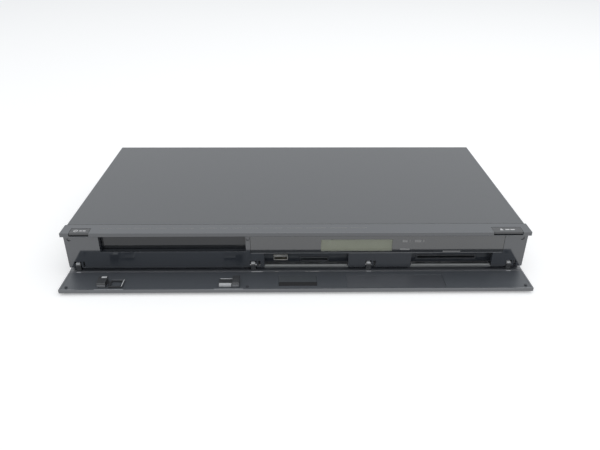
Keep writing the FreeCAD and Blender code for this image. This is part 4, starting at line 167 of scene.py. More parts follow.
def skin_effect(name, texture, stretch, fine=7.0):
    """A surface whose tone, roughness and fine relief vary with one texture and a finer noise."""
    effect, taken, given = new_effect(name, SKIN_INPUTS, SKIN_OUTPUTS)
    link = effect.links.new
    stretched = effect.nodes.new("ShaderNodeMapping")
    stretched.inputs["Scale"].default_value = stretch
    link(taken.outputs["Place"], stretched.inputs["Vector"])
    pattern = effect.nodes.new(texture)
    link(stretched.outputs[0], pattern.inputs["Vector"])
    link(taken.outputs["Grain"], pattern.inputs["Scale"])
    if texture == "ShaderNodeTexNoise":
        pattern.inputs["Detail"].default_value = 3.0
        mask = pattern.outputs[0]
    else:
        shade = effect.nodes.new("ShaderNodeSeparateColor")
        link(pattern.outputs["Color"], shade.inputs[0])
        mask = shade.outputs[0]
    tone = effect.nodes.new("ShaderNodeMix")
    tone.data_type = "RGBA"
    link(mask, tone.inputs["Factor"])
    link(taken.outputs["Low Tone"], tone.inputs["A"])
    link(taken.outputs["High Tone"], tone.inputs["B"])
    link(tone.outputs["Result"], given.inputs["Tone"])
    finer = effect.nodes.new("ShaderNodeMath")
    finer.operation = "MULTIPLY"
    finer.inputs[1].default_value = fine
    link(taken.outputs["Grain"], finer.inputs[0])
    speck = effect.nodes.new("ShaderNodeTexNoise")
    speck.inputs["Detail"].default_value = 2.0
    link(stretched.outputs[0], speck.inputs["Vector"])
    link(finer.outputs[0], speck.inputs["Scale"])
    link(speck.outputs[0], given.inputs["Relief"])
    swing = effect.nodes.new("ShaderNodeMath")
    swing.operation = "MULTIPLY_ADD"
    link(mask, swing.inputs[0])
    link(taken.outputs["Unevenness"], swing.inputs[1])
    link(taken.outputs["Smoothness"], swing.inputs[2])
    link(swing.outputs[0], given.inputs["Roughness"])
    return effect


def finish_of(name, effect, tones, grain, roughness, unevenness, relief, soft_edge=0.0, **constants):
    """A material from an effect: two tones, its grain per metre, its roughness and its relief."""
    made = bpy.data.materials.new(name)
    made.use_nodes = True
    tree = made.node_tree
    shader = tree.nodes["Principled BSDF"]
    place = tree.nodes.new("ShaderNodeTexCoord")
    skin = tree.nodes.new("ShaderNodeGroup")
    skin.node_tree = effect
    tree.links.new(place.outputs["Object"], skin.inputs["Place"])
    skin.inputs["Low Tone"].default_value = (*tones[0], 1)
    skin.inputs["High Tone"].default_value = (*tones[1], 1)
    skin.inputs["Grain"].default_value = grain
    skin.inputs["Smoothness"].default_value = roughness
    skin.inputs["Unevenness"].default_value = unevenness
    tree.links.new(skin.outputs["Tone"], shader.inputs["Base Color"])
    tree.links.new(skin.outputs["Roughness"], shader.inputs["Roughness"])
    bump = tree.nodes.new("ShaderNodeBump")
    bump.inputs["Distance"].default_value = relief
    bump.inputs["Strength"].default_value = 1.0
    tree.links.new(skin.outputs["Relief"], bump.inputs["Height"])
    if soft_edge:
        rounding = tree.nodes.new("ShaderNodeBevel")
        rounding.samples = 6
        rounding.inputs["Radius"].default_value = soft_edge
        tree.links.new(rounding.outputs[0], bump.inputs["Normal"])
    tree.links.new(bump.outputs[0], shader.inputs["Normal"])
    for socket, value in constants.items():
        shader.inputs[socket.replace("_", " ")].default_value = value
    return made


def dress(finish, *names):
    """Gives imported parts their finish."""
    for name in names:
        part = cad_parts[name]
        part.data.materials.clear()
        part.data.materials.append(finish)


crystal_skin = skin_effect("zinc_crystals", "ShaderNodeTexVoronoi", (1, 1, 1))
zinc_sheet = finish_of("zinc_sheet", crystal_skin, ((0.42, 0.43, 0.44), (0.56, 0.57, 0.58)), 160, 0.3,
                       0.16, 0.004 * mm, Metallic=1.0)
dress(zinc_sheet, "bottom_chassis")


# Four feet of black rubber are pressed into the chassis. Each is a turned disc with a rounded
# rim and a shallow hollow under its middle, and its skin is slightly grained, so that it grips.
def add_slab(built, low, high, rounding=0.0):
    """A rectangular piece between two corners, with its edges rounded."""
    sides = Vector(high) - Vector(low)
    place = Matrix.Translation((Vector(low) + Vector(high)) / 2) @ Matrix.Diagonal((*sides, 1))
    made = bmesh.ops.create_cube(built, size=1, matrix=place)
    if rounding:
        edges = list({edge for corner in made["verts"] for edge in corner.link_edges})
        bmesh.ops.bevel(built, geom=edges, offset=rounding, segments=2, profile=0.5, affect="EDGES",
                        material=-1)


def lathe_place(centre, direction):
    """The turn and place that carry a piece made about Z to its centre and direction."""
    return Matrix.Translation(centre) @ Vector(direction).to_track_quat("Z", "Y").to_matrix().to_4x4()


def add_turned(built, outline, centre, direction, closed=False, steps=36):
    """Turns an outline of (radius, height) points about an axis through a centre."""
    before = set(built.verts)
    spots = [built.verts.new((radius, 0, height)) for radius, height in outline]
    edges = [built.edges.new(pair) for pair in zip(spots, spots[1:])]
    if closed:
        edges.append(built.edges.new((spots[-1], spots[0])))
    bmesh.ops.spin(built, geom=spots + edges, cent=(0, 0, 0), axis=(0, 0, 1), angle=math.tau, steps=steps,
                   use_merge=True)
    fresh = [point for point in built.verts if point not in before]
    bmesh.ops.transform(built, matrix=lathe_place(centre, direction), verts=fresh)
    bmesh.ops.remove_doubles(built, verts=fresh, dist=1e-7)
    faces = {face for point in built.verts if point not in before for face in point.link_faces}
    bmesh.ops.recalc_face_normals(built, faces=list(faces))


def fit_piece(name, built, body, finish, replaced=(), shaded=True):
    """Makes an object of a finished mesh, with its finish and the body it is fixed to."""
    data = bpy.data.meshes.new(name)
    built.normal_update()
    built.to_mesh(data)
    built.free()
    if shaded:
        data.shade_smooth()
        data.set_sharp_from_angle(angle=math.radians(32))
    data.materials.append(finish)
    piece = bpy.data.objects.new(name, data)
    bpy.context.scene.collection.objects.link(piece)
    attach(piece, body)
    if replaced:
        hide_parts(*replaced)


grained_skin = skin_effect("grained_skin", "ShaderNodeTexNoise", (1, 1, 1))
foot_rubber = finish_of("foot_rubber", grained_skin, ((0.018, 0.018, 0.018), (0.03, 0.03, 0.03)), 700,
                        0.62, 0.2, 0.02 * mm)
foot_low, foot_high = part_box("feet")
foot_height = foot_high.z - foot_low.z
foot_radius = 15 * mm
foot_rim = 1.2 * mm
hollow_radius = 9 * mm
hollow_depth = 0.6 * mm
foot_outline = [(0, hollow_depth), (hollow_radius, hollow_depth), (hollow_radius + foot_rim / 3, 0),
                (foot_radius - foot_rim, 0), (foot_radius - foot_rim / 3, foot_rim / 3),
                (foot_radius, foot_rim), (foot_radius, foot_height), (0, foot_height)]
foot_discs = bmesh.new()
for x in (foot_low.x + foot_radius, foot_high.x - foot_radius):
    for y in (foot_low.y + foot_radius, foot_high.y - foot_radius):
        add_turned(foot_discs, foot_outline, (x, y, foot_low.z), (0, 0, 1), steps=48)
fit_piece("foot_discs", foot_discs, "recorder", foot_rubber, ["feet"])

# The rear panel is black coated sheet with a cut-out for every socket and a slotted grille in
# front of the fan. The coating is fine and slightly rough.
rear_coat = finish_of("rear_coat", grained_skin, ((0.03, 0.03, 0.032), (0.045, 0.045, 0.048)), 800,
                      0.42, 0.12, 0.015 * mm, soft_edge=0.25 * mm)
dress(rear_coat, "rear_panel")
rear_low, rear_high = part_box("rear_panel")

# Four threaded sockets for aerial leads: a nickel-plated hexagon, a barrel with a fine thread
# and a white insulator round the centre contact. They are screwed to the tuner's can.
brushed_skin = skin_effect("brushed_skin", "ShaderNodeTexNoise", (1, 22, 1), 4.0)
nickel = finish_of("nickel_plate", brushed_skin, ((0.58, 0.56, 0.52), (0.68, 0.66, 0.62)), 300, 0.18, 0.14,
                   0.004 * mm, Metallic=1.0)
aerial_columns = (-194 * mm, -179 * mm)
aerial_rows = (20 * mm, 35 * mm)
aerial_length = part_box("antenna_sockets")[1].y - rear_high.y
aerial_radius = 4.75 * mm
bore_radius = 3.3 * mm
bore_floor = 1.0 * mm
nut_reach = 1.6 * mm
nut_radius = aerial_radius + 1.6 * mm
nut_edge = 0.2 * mm
thread_pitch = 0.8 * mm
thread_root = aerial_radius - 0.35 * mm
plain_start = 0.3 * mm
plain_end = 0.9 * mm
barrel_outline = [(aerial_radius, nut_reach / 2)]
for number in range(int((aerial_length - nut_reach - plain_start - plain_end) / thread_pitch)):
    start = nut_reach + plain_start + number * thread_pitch
    barrel_outline += [(thread_root, start), (aerial_radius, start + thread_pitch / 2)]
barrel_outline += [(thread_root, aerial_length - 0.5 * mm), (thread_root - 0.3 * mm, aerial_length),
                   (bore_radius + 0.2 * mm, aerial_length), (bore_radius, aerial_length - 0.2 * mm),
                   (bore_radius, bore_floor), (0, bore_floor)]
insulator_radius = bore_radius - 0.05 * mm
insulator_face = aerial_length - 1.4 * mm
contact_end = insulator_face - 0.8 * mm
insulator_outline = [(insulator_radius, bore_floor + 0.2 * mm), (insulator_radius, insulator_face),
                     (1.0 * mm, insulator_face), (0.55 * mm, contact_end), (0, contact_end)]
barrels = bmesh.new()
insulators = bmesh.new()
for x in aerial_columns:
    for z in aerial_rows:
        add_turned(barrels, barrel_outline, (x, rear_high.y, z), (0, 1, 0))
        nut_place = lathe_place((x, rear_high.y + nut_reach / 2, z), (0, 1, 0))
        nut = bmesh.ops.create_cone(barrels, cap_ends=True, segments=6, radius1=nut_radius,
                                    radius2=nut_radius, depth=nut_reach, matrix=nut_place)
        nut_edges = list({edge for point in nut["verts"] for edge in point.link_edges})
        bmesh.ops.bevel(barrels, geom=nut_edges, offset=nut_edge, segments=2, profile=0.5, affect="EDGES",
                        material=-1)
        add_turned(insulators, insulator_outline, (x, rear_high.y, z), (0, 1, 0))
fit_piece("aerial_barrels", barrels, "recorder", nickel, ["antenna_sockets"])
insulator = finish_of("white_insulator", grained_skin, ((0.62, 0.6, 0.55), (0.7, 0.68, 0.63)), 500, 0.4, 0.1,
                      0.005 * mm)
fit_piece("aerial_insulators", insulators, "recorder", insulator)

# The audio and video jacks share one black housing. Each has a coloured ring at its root that
# tells the leads apart, and a nickel-plated throat.
black_moulding = finish_of("black_moulding", grained_skin, ((0.022, 0.022, 0.024), (0.034, 0.034, 0.036)),
                           600, 0.36, 0.14, 0.01 * mm, soft_edge=0.2 * mm)
dress(black_moulding, "optical_socket", "network_socket", "ac_inlet")
jack_columns = (-140 * mm, -126 * mm, -112 * mm)
jack_rows = (20 * mm, 34 * mm)
jack_length = 8.0 * mm
jack_radius = 4.2 * mm
jack_bore = jack_radius * 0.42
jack_edge = 0.5 * mm
jack_root = -1.5 * mm
jack_outline = [(0, jack_root), (jack_radius, jack_root), (jack_radius, jack_length - jack_edge),
                (jack_radius - jack_edge, jack_length), (jack_bore, jack_length), (jack_bore, 0), (0, 0)]
throat_in = jack_bore - 0.3 * mm
throat_out = jack_bore - 0.02 * mm
throat_rim = jack_bore + 1.1 * mm
throat_back = jack_length - 4 * mm
throat_outline = [(throat_in, throat_back), (throat_in, jack_length), (throat_rim, jack_length + 0.15 * mm),
                  (throat_rim, jack_length - 0.3 * mm), (throat_out, jack_length - 0.3 * mm),
                  (throat_out, throat_back)]
housing_low, housing_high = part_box("av_jacks")
housing_back = rear_low.y - 0.4 * mm
jacks = bmesh.new()
throats = bmesh.new()
add_slab(jacks, housing_low, (housing_high.x, housing_back, housing_high.z), 0.4 * mm)
for x in jack_columns:
    for z in jack_rows:
        add_turned(jacks, jack_outline, (x, rear_high.y, z), (0, 1, 0))
        add_turned(throats, throat_outline, (x, rear_high.y, z), (0, 1, 0), closed=True)
fit_piece("jack_block", jacks, "recorder", black_moulding, ["av_jacks"])
ring_colours = (("yellow", (0.75, 0.5, 0.03)), ("white", (0.75, 0.75, 0.72)), ("red", (0.55, 0.03, 0.03)))
ring_in = jack_radius + 0.05 * mm
ring_out = ring_in + 0.9 * mm
ring_height = 1.5 * mm
ring_outline = [(ring_in, 0), (ring_out, 0), (ring_out, ring_height - 0.4 * mm),
                (ring_out - 0.3 * mm, ring_height), (ring_in, ring_height)]
for (colour_name, colour), x in zip(ring_colours, jack_columns):
    lighter = tuple(min(1, level * 1.15) for level in colour)
    ring_finish = finish_of("ring_" + colour_name, grained_skin, (colour, lighter), 500, 0.34, 0.1,
                            0.006 * mm)
    rings = bmesh.new()
    for z in jack_rows:
        add_turned(rings, ring_outline, (x, rear_high.y, z), (0, 1, 0), closed=True)
    fit_piece("jack_rings_" + colour_name, rings, "recorder", ring_finish)
fit_piece("jack_throats", throats, "recorder", nickel)

# The digital video socket is a tin-plated shell with a black tongue. The network socket has
# eight gilt wires along its roof, and the mains inlet two nickel pins.
tin_sheet = finish_of("tin_sheet", brushed_skin, ((0.5, 0.5, 0.48), (0.6, 0.6, 0.58)), 260, 0.22, 0.16,
                      0.004 * mm, Metallic=1.0)
dress(tin_sheet, "video_socket")
gilt = finish_of("gilt_contact", brushed_skin, ((0.72, 0.5, 0.2), (0.82, 0.6, 0.28)), 300, 0.2, 0.12,
                 0.003 * mm, Metallic=1.0)
network_low, network_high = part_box("network_socket")
network_middle = (network_low.x + network_high.x) / 2
network_roof = network_high.z - 3.35 * mm
wire_count = 8
wire_pitch = 1.02 * mm
wire_half = 0.22 * mm
wire_height = 0.35 * mm
wire_start = network_low.y + 1.6 * mm
wire_end = network_high.y - 3 * mm
wires = bmesh.new()
for number in range(wire_count):
    x = network_middle + (number - (wire_count - 1) / 2) * wire_pitch
    add_slab(wires, (x - wire_half, wire_start, network_roof - wire_height),
             (x + wire_half, wire_end, network_roof), 0.08 * mm)
fit_piece("network_wires", wires, "recorder", gilt)

# The fan frame is a square black moulding with four spokes behind it. Seven steep blades turn
# on its hub and blow through the rear grille.
dress(black_moulding, "fan_frame", "fan_rotor")

# Circuit boards are green laminate under glossy lacquer, with fine copper tracks just visible
# under it. They stand on posts of the chassis and carry chips, cans and coils.
board_skin = skin_effect("board_tracks", "ShaderNodeTexVoronoi", (1, 1, 0.02), 3.0)
board_green = finish_of("board_green", board_skin, ((0.012, 0.075, 0.03), (0.03, 0.13, 0.055)), 420, 0.28,
                        0.1, 0.03 * mm, Coat_Weight=0.3)
dress(board_green, "main_board", "power_board", "front_board", "socket_board")
dress(tin_sheet, "tuner_module")

# The heat sink is extruded aluminium with upright fins, left bright. The transformer has a dark
# ferrite core with its winding under yellow tape.
bright_metal = finish_of("bright_aluminium", brushed_skin, ((0.55, 0.56, 0.57), (0.68, 0.69, 0.7)), 180, 0.32,
                         0.14, 0.008 * mm, Metallic=1.0)
dress(bright_metal, "heat_sink")
winding_tape = finish_of("winding_tape", brushed_skin, ((0.5, 0.36, 0.06), (0.62, 0.46, 0.1)), 240, 0.4, 0.1,
                         0.02 * mm)
dress(winding_tape, "power_transformer")

# The hard drive is a die-cast box with a pressed lid. It is screwed to a bracket of zinc-coated
# sheet that stands over the main board.
cast_skin = skin_effect("cast_skin", "ShaderNodeTexNoise", (1, 1, 1), 11.0)
cast_metal = finish_of("cast_metal", cast_skin, ((0.4, 0.4, 0.41), (0.5, 0.5, 0.51)), 350, 0.42, 0.14,
                       0.02 * mm, Metallic=1.0)
dress(cast_metal, "hard_drive")
dress(zinc_sheet, "hard_drive_bracket")

# The disc drive's frame and clamp are black mouldings under a pressed steel lid.
# Everything that turns or slides in the drive is carried by this frame.
drive_moulding = finish_of("drive_moulding", grained_skin, ((0.028, 0.028, 0.03), (0.042, 0.042, 0.044)), 450,
                           0.45, 0.14, 0.015 * mm)
dress(drive_moulding, "drive_frame", "clamp_puck")
dress(zinc_sheet, "drive_cover")

# The traverse frame is stamped steel. It carries the spindle motor, two ground rods, the lead
# screw and the small motor that turns it.
ground_steel = finish_of("ground_steel", brushed_skin, ((0.52, 0.52, 0.53), (0.64, 0.64, 0.65)), 500, 0.16,
                         0.1, 0.002 * mm, Metallic=1.0)
dress(zinc_sheet, "traverse_frame")
dress(ground_steel, "sled_rods", "lead_screw")
dress(nickel, "spindle_motor", "sled_motor", "loading_motor")

# The pickup is a die-cast sled whose lens looks up at the disc. The turntable is a black hub
# with a centring cone.
dress(cast_metal, "pickup_sled")
lens_glass = finish_of("lens_glass", cast_skin, ((0.5, 0.62, 0.8), (0.56, 0.68, 0.86)), 200, 0.02, 0.02,
                       0.0005 * mm, IOR=1.52, Coat_Weight=0.5)
dress(lens_glass, "objective_lens")
dress(drive_moulding, "turntable")

# The loading gears are cut in white acetal, which is smooth and a little waxy. A square rubber
# belt links the motor's pulley to the larger one.
white_acetal = finish_of("white_acetal", grained_skin, ((0.68, 0.67, 0.63), (0.76, 0.75, 0.71)), 300, 0.34,
                         0.1, 0.006 * mm, Subsurface_Weight=0.05)
dress(white_acetal, "tray_gear", "pulley_gear", "motor_pulley")
dress(foot_rubber, "loading_belt")

# The disc tray is a thin black moulding with stepped wells for large and small discs. Its fascia
# is glossy like the front and is clipped to the tray's front edge. A fine groove runs along the
# fascia, with two low catches over it. The groove is a flat near-black strip, and its darkness is
# painted shade.
tray_moulding = finish_of("tray_moulding", grained_skin, ((0.022, 0.022, 0.024), (0.033, 0.033, 0.035)), 500,
                          0.34, 0.14, 0.01 * mm, soft_edge=0.25 * mm)
dress(tray_moulding, "disc_tray")
fascia_gloss = finish_of("fascia_gloss", cast_skin, ((0.012, 0.014, 0.018), (0.014, 0.016, 0.02)), 60, 0.1,
                         0.02, 0.0001 * mm, soft_edge=0.3 * mm, IOR=1.58)
dress(fascia_gloss, "tray_fascia")
fascia_low, fascia_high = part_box("tray_fascia")
proud = 0.03 * mm
sunk = 0.1 * mm
groove_inset = 0.8 * mm
groove_low = fascia_low.z + 2.0 * mm
groove_top = groove_low + 0.45 * mm
groove = bmesh.new()
add_slab(groove, (fascia_low.x + groove_inset, fascia_low.y - proud, groove_low),
         (fascia_high.x - groove_inset, fascia_low.y + sunk, groove_top))
# Near-black for the panel's dark seams and for the painted shade in the fascia's groove.
seam_dark_groove_shade = finish_of("seam_dark_groove_shade", cast_skin, ((0.002, 0.002, 0.003), (0.004, 0.004, 0.005)), 200, 0.6,
                        0.1, 0.001 * mm)
fit_piece("fascia_groove", groove, "tray", seam_dark_groove_shade, shaded=False)
catch_spans = ((15.4 * mm, 29.1 * mm), (123.6 * mm, 132.7 * mm))
catch_height = 0.63 * mm
catches = bmesh.new()
for left, right in catch_spans:
    add_slab(catches, (fascia_low.x + left, fascia_low.y - proud * 4, groove_top),
             (fascia_low.x + right, fascia_low.y + sunk, groove_top + catch_height), 0.08 * mm)
fit_piece("fascia_catches", catches, "tray", fascia_gloss)

# The front moulding is one long piece of black plastic with a strip and a lip along its top and
# a polished front wall, whose lower edge is rolled under. Two recesses under the display hold
# the sockets. There the rolled edge is painted pale, with a round bead of the same pale colour
# behind it: painted light for the brightly lit gap under the wall's edge.
front_gloss = finish_of("front_gloss", cast_skin, ((0.035, 0.04, 0.049), (0.038, 0.043, 0.052)), 40, 0.06,
                        0.02, 0.0001 * mm, soft_edge=0.3 * mm, IOR=1.95)
mould_draft = 0.05


def lean(finish, drop):
    """Tilts a polished face's mirror image a little downwards, as the draft of its mould does."""
    tree = finish.node_tree
    shader = tree.nodes["Principled BSDF"]
    straight = shader.inputs["Normal"].links[0].from_socket
    tipped = tree.nodes.new("ShaderNodeVectorMath")
    tipped.operation = "ADD"
    tipped.inputs[1].default_value = (0, 0, -drop)
    unit = tree.nodes.new("ShaderNodeVectorMath")
    unit.operation = "NORMALIZE"
    tree.links.new(straight, tipped.inputs[0])
    tree.links.new(tipped.outputs[0], unit.inputs[0])
    tree.links.new(unit.outputs[0], shader.inputs["Normal"])


def add_rolled(built, left, right, outer, inner, axis, angle, start=0.0):
    """A bent wall along X: its two radii, its axis as (y, z), its angle, and where the bend starts."""
    corners = []
    for x, radius in ((left, outer), (right, outer), (right, inner), (left, inner)):
        spot = (x, axis[0] - radius * math.cos(start), axis[1] + radius * math.sin(start))
        corners.append(built.verts.new(spot))
    first = built.faces.new(corners)
    bmesh.ops.spin(built, geom=[first, *first.edges, *corners], cent=(0, *axis), axis=(1, 0, 0), angle=angle,
                   steps=12)
    bmesh.ops.recalc_face_normals(built, faces=built.faces)


lean(front_gloss, mould_draft)
dress(front_gloss, "front_moulding", "front_wells")
wall_y = -94.6 * mm
roll_out = 2.9 * mm
roll_in = 2.0 * mm
roll_axis = (wall_y + roll_out, 10.5 * mm)
roll_sweep = math.radians(115)
roll_spans = ((-200.9 * mm, -46.3 * mm), (-36.4 * mm, -30.8 * mm), (48.2 * mm, 62.9 * mm),
              (72.7 * mm, 107.5 * mm), (184.2 * mm, 196.5 * mm))
recess_spans = ((-30.8 * mm, 48.2 * mm), (107.5 * mm, 184.2 * mm))
# Pale grey painted light for the recess roll and its bead, not the moulding's own colour.
painted_gap_light = finish_of("painted_gap_light", cast_skin, ((0.2, 0.21, 0.21), (0.23, 0.24, 0.24)), 60, 0.3, 0.05,
                      0.0005 * mm)
for name, spans, finish in (("wall_roll", roll_spans, front_gloss), ("recess_roll", recess_spans, painted_gap_light)):
    roll = bmesh.new()
    for left, right in spans:
        add_rolled(roll, left, right, roll_out, roll_in, roll_axis, roll_sweep)
    fit_piece(name, roll, "recorder", finish)
bead_y = -92.4 * mm
bead_z = 9.6 * mm
bead_radius = 1.6 * mm
bead_edge = 0.3 * mm
bead_inset = 0.5 * mm
beads = bmesh.new()
for left, right in recess_spans:
    length = right - left - bead_inset * 2
    add_turned(beads, [(0, 0), (bead_radius - bead_edge, 0), (bead_radius, bead_edge),
                       (bead_radius, length - bead_edge), (bead_radius - bead_edge, length), (0, length)],
               (left + bead_inset, bead_y, bead_z), (1, 0, 0))
fit_piece("recess_beads", beads, "recorder", painted_gap_light)

# The display panel is smoked acrylic that lies in the wall's bed, with a dark seam round it. Its
# lower edge is a narrow polished chamfer, and its highlight is painted on it in pale grey.
panel_gloss = finish_of("panel_gloss", cast_skin, ((0.018, 0.02, 0.024), (0.02, 0.022, 0.026)), 40, 0.05,
                        0.01, 0.0001 * mm, soft_edge=0.25 * mm, IOR=2.0)
lean(panel_gloss, mould_draft)
dress(panel_gloss, "display_panel")
panel_low, panel_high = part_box("display_panel")
seam = 0.3 * mm
seam_depth = 0.2 * mm
seams = bmesh.new()
for left, right, bottom in ((panel_low.x - seam, panel_low.x, panel_low.z),
                            (panel_high.x, panel_high.x + seam, panel_low.z),
                            (panel_low.x, panel_high.x, panel_high.z)):
    add_slab(seams, (left, panel_low.y - proud, bottom),
             (right, panel_low.y + seam_depth, panel_high.z + seam))
fit_piece("panel_seams", seams, "recorder", seam_dark_groove_shade, shaded=False)
chamfer_low = panel_low.z + 0.05 * mm
chamfer_top = panel_low.z + 0.4 * mm
chamfer_proud = 0.08 * mm
chamfer = bmesh.new()
add_slab(chamfer, (panel_low.x + seam, panel_low.y - chamfer_proud, chamfer_low),
         (panel_high.x - seam, panel_low.y + sunk, chamfer_top), 0.06 * mm)
# Pale grey painted highlight along the chamfer.
chamfer_painted_highlight = finish_of("chamfer_highlight_grey", cast_skin, ((0.2, 0.21, 0.22), (0.26, 0.27, 0.28)), 80, 0.15, 0.1,
                       0.001 * mm)
fit_piece("panel_chamfer", chamfer, "recorder", chamfer_painted_highlight)

# Behind its clear pane lies the fluorescent display, a grey-green glass tube that is dark when
# the recorder is off. A fine mesh of wires is just visible in it. The light grey-green of the tube
# and the pane is partly their tint and partly a painted reflection of the bright room in the pane.
display_skin = skin_effect("display_mesh", "ShaderNodeTexNoise", (1, 1, 1), 20.0)
display_glass = finish_of("display_glass", display_skin, ((0.38, 0.4, 0.31), (0.395, 0.415, 0.325)), 30, 0.3,
                          0.02, 0.0001 * mm)
dress(display_glass, "display_module")
pane_glass = finish_of("pane_glass", display_skin, ((0.4, 0.42, 0.33), (0.41, 0.43, 0.34)), 20, 0.05, 0.01,
                       0.00005 * mm, IOR=1.5, Alpha=0.45)
dress(pane_glass, "display_window")

# The remote sensor sits behind the panel with a dark dome, and each button presses a small
# switch on its own strip of board.
dress(black_moulding, "remote_sensor", "button_switches")


# The data socket is a tin-plated shell with a black tongue that carries four gilt contacts, and
# its mouth has a bright rim. Both card slots are black housings with a row of spring contacts
# inside and a grey line above and below the mouth.
def add_contact_row(built, low, high, count, width):
    """A row of narrow contacts across a box."""
    step = (high[0] - low[0]) / count
    for number in range(count):
        x = low[0] + (number + 0.5) * step
        add_slab(built, (x - width / 2, low[1], low[2]), (x + width / 2, high[1], high[2]), width * 0.15)


dress(tin_sheet, "data_port")
slot_black = finish_of("slot_black", grained_skin, ((0.034, 0.038, 0.045), (0.044, 0.048, 0.056)), 500,
                       0.26, 0.08, 0.003 * mm, soft_edge=0.2 * mm, IOR=1.7)
dress(slot_black, "memory_card_slot", "access_card_slot")
port_low, port_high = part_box("data_port")
port_side = 2.2 * mm
port_contacts = (port_low.y + 1.2 * mm, port_low.y + 9 * mm)
tongue_under = port_low.z + 2.9 * mm
contact_proud = 0.05 * mm
springs = bmesh.new()
add_contact_row(springs, (port_low.x + port_side, port_contacts[0], tongue_under - 0.12 * mm),
                (port_high.x - port_side, port_contacts[1], tongue_under + contact_proud), 4, 1.0 * mm)
card_slots = (("memory_card_slot", 9, 2.4 * mm), ("access_card_slot", 8, 2.6 * mm))
slot_wall = 1.2 * mm
spring_side = 3 * mm
spring_depths = (8 * mm, 14 * mm)
spring_height = 0.3 * mm
line_height = 0.25 * mm
line_proud = 0.1 * mm
line_depth = 0.3 * mm
slot_lines = bmesh.new()
for slot_node, count, mouth_height in card_slots:
    slot_low, slot_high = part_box(slot_node)
    slot_floor = slot_low.z + slot_wall
    slot_roof = slot_floor + mouth_height
    spring_front, spring_back = (slot_low.y + depth for depth in spring_depths)
    add_contact_row(springs, (slot_low.x + spring_side, spring_front, slot_roof - spring_height),
                    (slot_high.x - spring_side, spring_back, slot_roof + contact_proud), count, 1.1 * mm)
    for z in (slot_floor - line_height, slot_roof):
        add_slab(slot_lines, (slot_low.x + slot_wall, slot_low.y - line_proud, z),
                 (slot_high.x - slot_wall, slot_low.y + line_depth, z + line_height), 0.05 * mm)
fit_piece("spring_contacts", springs, "recorder", gilt)
rim = 0.4 * mm
rim_proud = 0.25 * mm
rim_depth = 0.5 * mm
port_rim = bmesh.new()
for low_x, low_z, high_x, high_z in ((port_low.x, port_low.z, port_high.x, port_low.z + rim),
                                     (port_low.x, port_high.z - rim, port_high.x, port_high.z),
                                     (port_low.x, port_low.z, port_low.x + rim, port_high.z),
                                     (port_high.x - rim, port_low.z, port_high.x, port_high.z)):
    add_slab(port_rim, (low_x, port_low.y - rim_proud, low_z),
             (high_x, port_low.y + rim_depth, high_z), 0.1 * mm)
bright_tin = finish_of("bright_tin", brushed_skin, ((0.6, 0.59, 0.55), (0.7, 0.69, 0.65)), 300, 0.3, 0.1,
                       0.002 * mm)
fit_piece("port_rim", port_rim, "recorder", bright_tin)
line_grey = finish_of("line_grey", cast_skin, ((0.15, 0.155, 0.165), (0.18, 0.185, 0.195)), 200, 0.4, 0.05,
                      0.001 * mm)
fit_piece("slot_lines", slot_lines, "recorder", line_grey)

# The flap's outer panel is glossy black, with a rim left proud round the satin liner that is
# glued into it. A narrow groove runs along its rear.
flap_gloss = finish_of("flap_gloss", cast_skin, ((0.068, 0.073, 0.083), (0.072, 0.077, 0.087)), 50, 0.27,
                       0.02, 0.0001 * mm, soft_edge=0.35 * mm, IOR=2.0)
dress(flap_gloss, "flap_panel")
liner_satin = finish_of("liner_satin", cast_skin, ((0.06, 0.067, 0.077), (0.063, 0.07, 0.08)), 60, 0.4, 0.02,
                        0.0001 * mm, soft_edge=0.2 * mm, IOR=1.7)
dress(liner_satin, "flap_liner")
flap_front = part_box("flap_panel")[0].y
liner_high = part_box("flap_liner")[1]

# A small plate with a strip of black foam is let into the liner and keeps the tray's edge off
# it. Three rubber bumpers meet the dimples of the wall when the flap is shut.
inlay_satin = finish_of("inlay_satin", grained_skin, ((0.058, 0.065, 0.072), (0.066, 0.073, 0.08)), 400, 0.4,
                        0.08, 0.003 * mm, IOR=1.6)
dress(inlay_satin, "flap_inlay")
foam_black = finish_of("foam_black", grained_skin, ((0.008, 0.008, 0.009), (0.02, 0.02, 0.022)), 900, 0.85,
                       0.1, 0.12 * mm)
dress(foam_black, "flap_foam")
bumper_rubber = finish_of("bumper_rubber", grained_skin, ((0.04, 0.043, 0.05), (0.05, 0.053, 0.06)), 700, 0.5,
                          0.1, 0.005 * mm)
dress(bumper_rubber, "flap_bumpers")

# Four black arms of tough plastic are snapped into the flap's rear edge and turn on steel pins
# in the front moulding's ears. A pale strip over each arm's round shoulder is a painted highlight,
# and one along its foot is a painted reflection, where the second arm's runs on to its right.
arm_black = finish_of("arm_black", grained_skin, ((0.034, 0.036, 0.04), (0.044, 0.046, 0.05)), 400, 0.18,
                      0.08, 0.003 * mm, soft_edge=0.5 * mm, IOR=1.8)
dress(arm_black, "flap_hinge_arms")
dress(ground_steel, "hinge_pins")
arms_low, arms_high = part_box("flap_hinge_arms")
arm_lefts = (-208.1 * mm, -43.65 * mm, 65.5 * mm, 199.15 * mm)
arm_width = 4.6 * mm
foot_tails = (0, 6.5 * mm, 0, 0)
foot_front = liner_high.y + 0.3 * mm
foot_back = liner_high.y + 0.95 * mm
foot_proud = 0.12 * mm
shoulder_round = 3.2 * mm
shoulder_axis = (arms_low.y + shoulder_round, arms_high.z - shoulder_round)
highlight_side = 0.4 * mm
highlight_out = shoulder_round + 0.06 * mm
highlight_in = shoulder_round - 0.3 * mm
highlight_sweep = -math.radians(55)
highlight_start = math.radians(30)
arm_highlight_mesh = bmesh.new()
